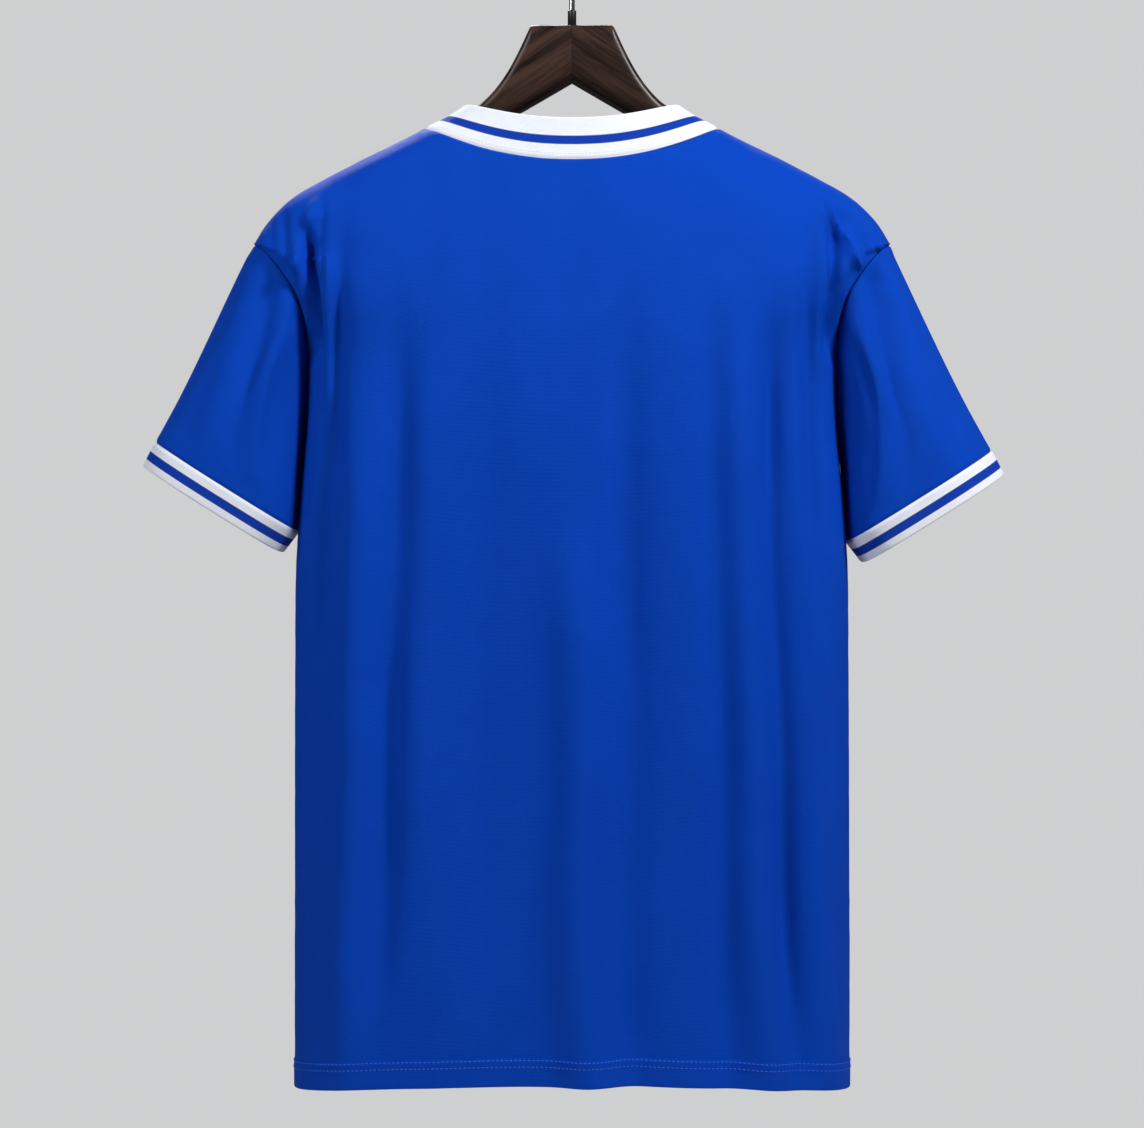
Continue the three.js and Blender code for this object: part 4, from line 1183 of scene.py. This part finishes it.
cloth = jerseyCloth()
blueThread = thread("blueThread", (0.010, 0.085, 0.62, 1))
finishes = {
    "backPanel": cloth,
    "frontPanel": cloth,
    "sleeveLeft": cloth,
    "sleeveRight": cloth,
    "backHemStitches": blueThread,
    "frontHemStitches": blueThread,
    "ribCollar": stripedRib("collarRib", ribKnit["collarStripe"]),
    "cuffLeft": stripedRib("cuffRib", ribKnit["cuffStripe"]),
    "collarStitches": thread("whiteThread", (0.82, 0.84, 0.89, 1)),
    "hangerWood": stainedWood(),
    "hangerHook": metalFinish("chromeWire", (0.72, 0.73, 0.75, 1), 0.10, 1.0, 0.12),
    "hangerFerrule": metalFinish("blackFerrule", (0.012, 0.012, 0.013, 1), 0.32, 0.3, 0.2),
}
finishes["cuffRight"] = finishes["cuffLeft"]
for name, material in finishes.items():
    pieces[name].data.materials.append(material)

replaced = {
    "backPanel": ("back_panel", "jersey_cloth"),
    "frontPanel": ("front_panel", "jersey_cloth"),
    "sleeveLeft": ("sleeve_left", "jersey_cloth"),
    "sleeveRight": ("sleeve_right", "jersey_cloth"),
    "cuffLeft": ("cuff_left", "striped_rib"),
    "cuffRight": ("cuff_right", "striped_rib"),
    "ribCollar": ("collar", "striped_rib"),
    "hangerWood": ("hanger_wood", "dark_wood"),
    "hangerHook": ("hanger_hook", "hook_wire"),
    "hangerFerrule": ("hanger_ferrule", "black_ferrule"),
}
for name, (node, slot) in replaced.items():
    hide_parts(node)

print("stage")
stage = {
    "floorHeight": -1.3,
    "floorRadius": 1.6,
    "floorColour": (0.72, 0.71, 0.69, 1),
    "worldColour": (0.62, 0.625, 0.63, 1),
    "worldLight": 0.07,
    "cameraBack": 2.2,
    "cameraDown": 0.479,
    "lens": 92.8,
    "sensor": 36,
}
studioLights = [
    {"name": "backKey", "place": (-1.2, 1.05, 0.95), "size": 0.4, "power": 57},
    {"name": "backFill", "place": (1.25, 1.05, 0.6), "size": 0.8, "power": 24},
    {"name": "frontKey", "place": (0.3, -1.3, 0.95), "size": 0.5, "power": 26},
]


def makeStage():
    turn = 2 * np.pi * np.arange(96) / 96
    radius = stage["floorRadius"]
    ring = np.stack([radius * np.cos(turn), radius * np.sin(turn), np.full(96, stage["floorHeight"])], axis=1)
    mesh = bpy.data.meshes.new("floor")
    mesh.from_pydata(ring.tolist(), [], [tuple(range(96))])
    floor = bpy.data.objects.new("floor", mesh)
    bpy.context.scene.collection.objects.link(floor)
    material, tree, shader = newMaterial("floorFinish", 0.8, specular=0.2)
    nodes = Nodes(tree)
    place = nodes.add("ShaderNodeTexCoord").outputs["Object"]
    tone = nodes.noise(place, 3, 3, 0.5)
    pale = stage["floorColour"]
    nodes.put(nodes.mixColour(tone, darker(pale, 0.94), pale), shader.inputs["Base Color"])
    floor.data.materials.append(material)
    floor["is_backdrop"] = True
    world = bpy.data.worlds.new("studio")
    bpy.context.scene.world = world
    world.use_nodes = True
    tree = world.node_tree
    background = tree.nodes["Background"]
    background.inputs[0].default_value = stage["worldColour"]
    seen = tree.nodes.new("ShaderNodeLightPath").outputs["Is Camera Ray"]
    strength = tree.nodes.new("ShaderNodeMapRange")
    tree.links.new(seen, strength.inputs[0])
    strength.inputs[3].default_value = stage["worldLight"]
    strength.inputs[4].default_value = 1.0
    tree.links.new(strength.outputs[0], background.inputs[1])


def makeLights():
    target = Vector((0, 0, -0.47))
    for item in studioLights:
        light = bpy.data.lights.new(item["name"], "AREA")
        light.shape = "DISK"
        light.size = item["size"]
        light.energy = item["power"]
        lamp = bpy.data.objects.new(item["name"], light)
        lamp.location = item["place"]
        lamp.rotation_mode = "QUATERNION"
        lamp.rotation_quaternion = (target - Vector(item["place"])).to_track_quat("-Z", "Y")
        bpy.context.scene.collection.objects.link(lamp)


def makeCamera():
    lens = bpy.data.cameras.new("camera")
    lens.lens = stage["lens"]
    lens.sensor_width = stage["sensor"]
    lens.sensor_fit = "HORIZONTAL"
    camera = bpy.data.objects.new("camera", lens)
    camera.location = (0, stage["cameraBack"], -stage["cameraDown"])
    camera.rotation_euler = (math.radians(90), 0, math.radians(180))
    bpy.context.scene.collection.objects.link(camera)
    bpy.context.scene.camera = camera


makeStage()
makeLights()
makeCamera()
bpy.context.scene.view_settings.view_transform = "Standard"

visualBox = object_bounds()
boxes = {"cad": [list(corner) for corner in cadBox], "visual": [list(corner) for corner in visualBox]}
print("finish")
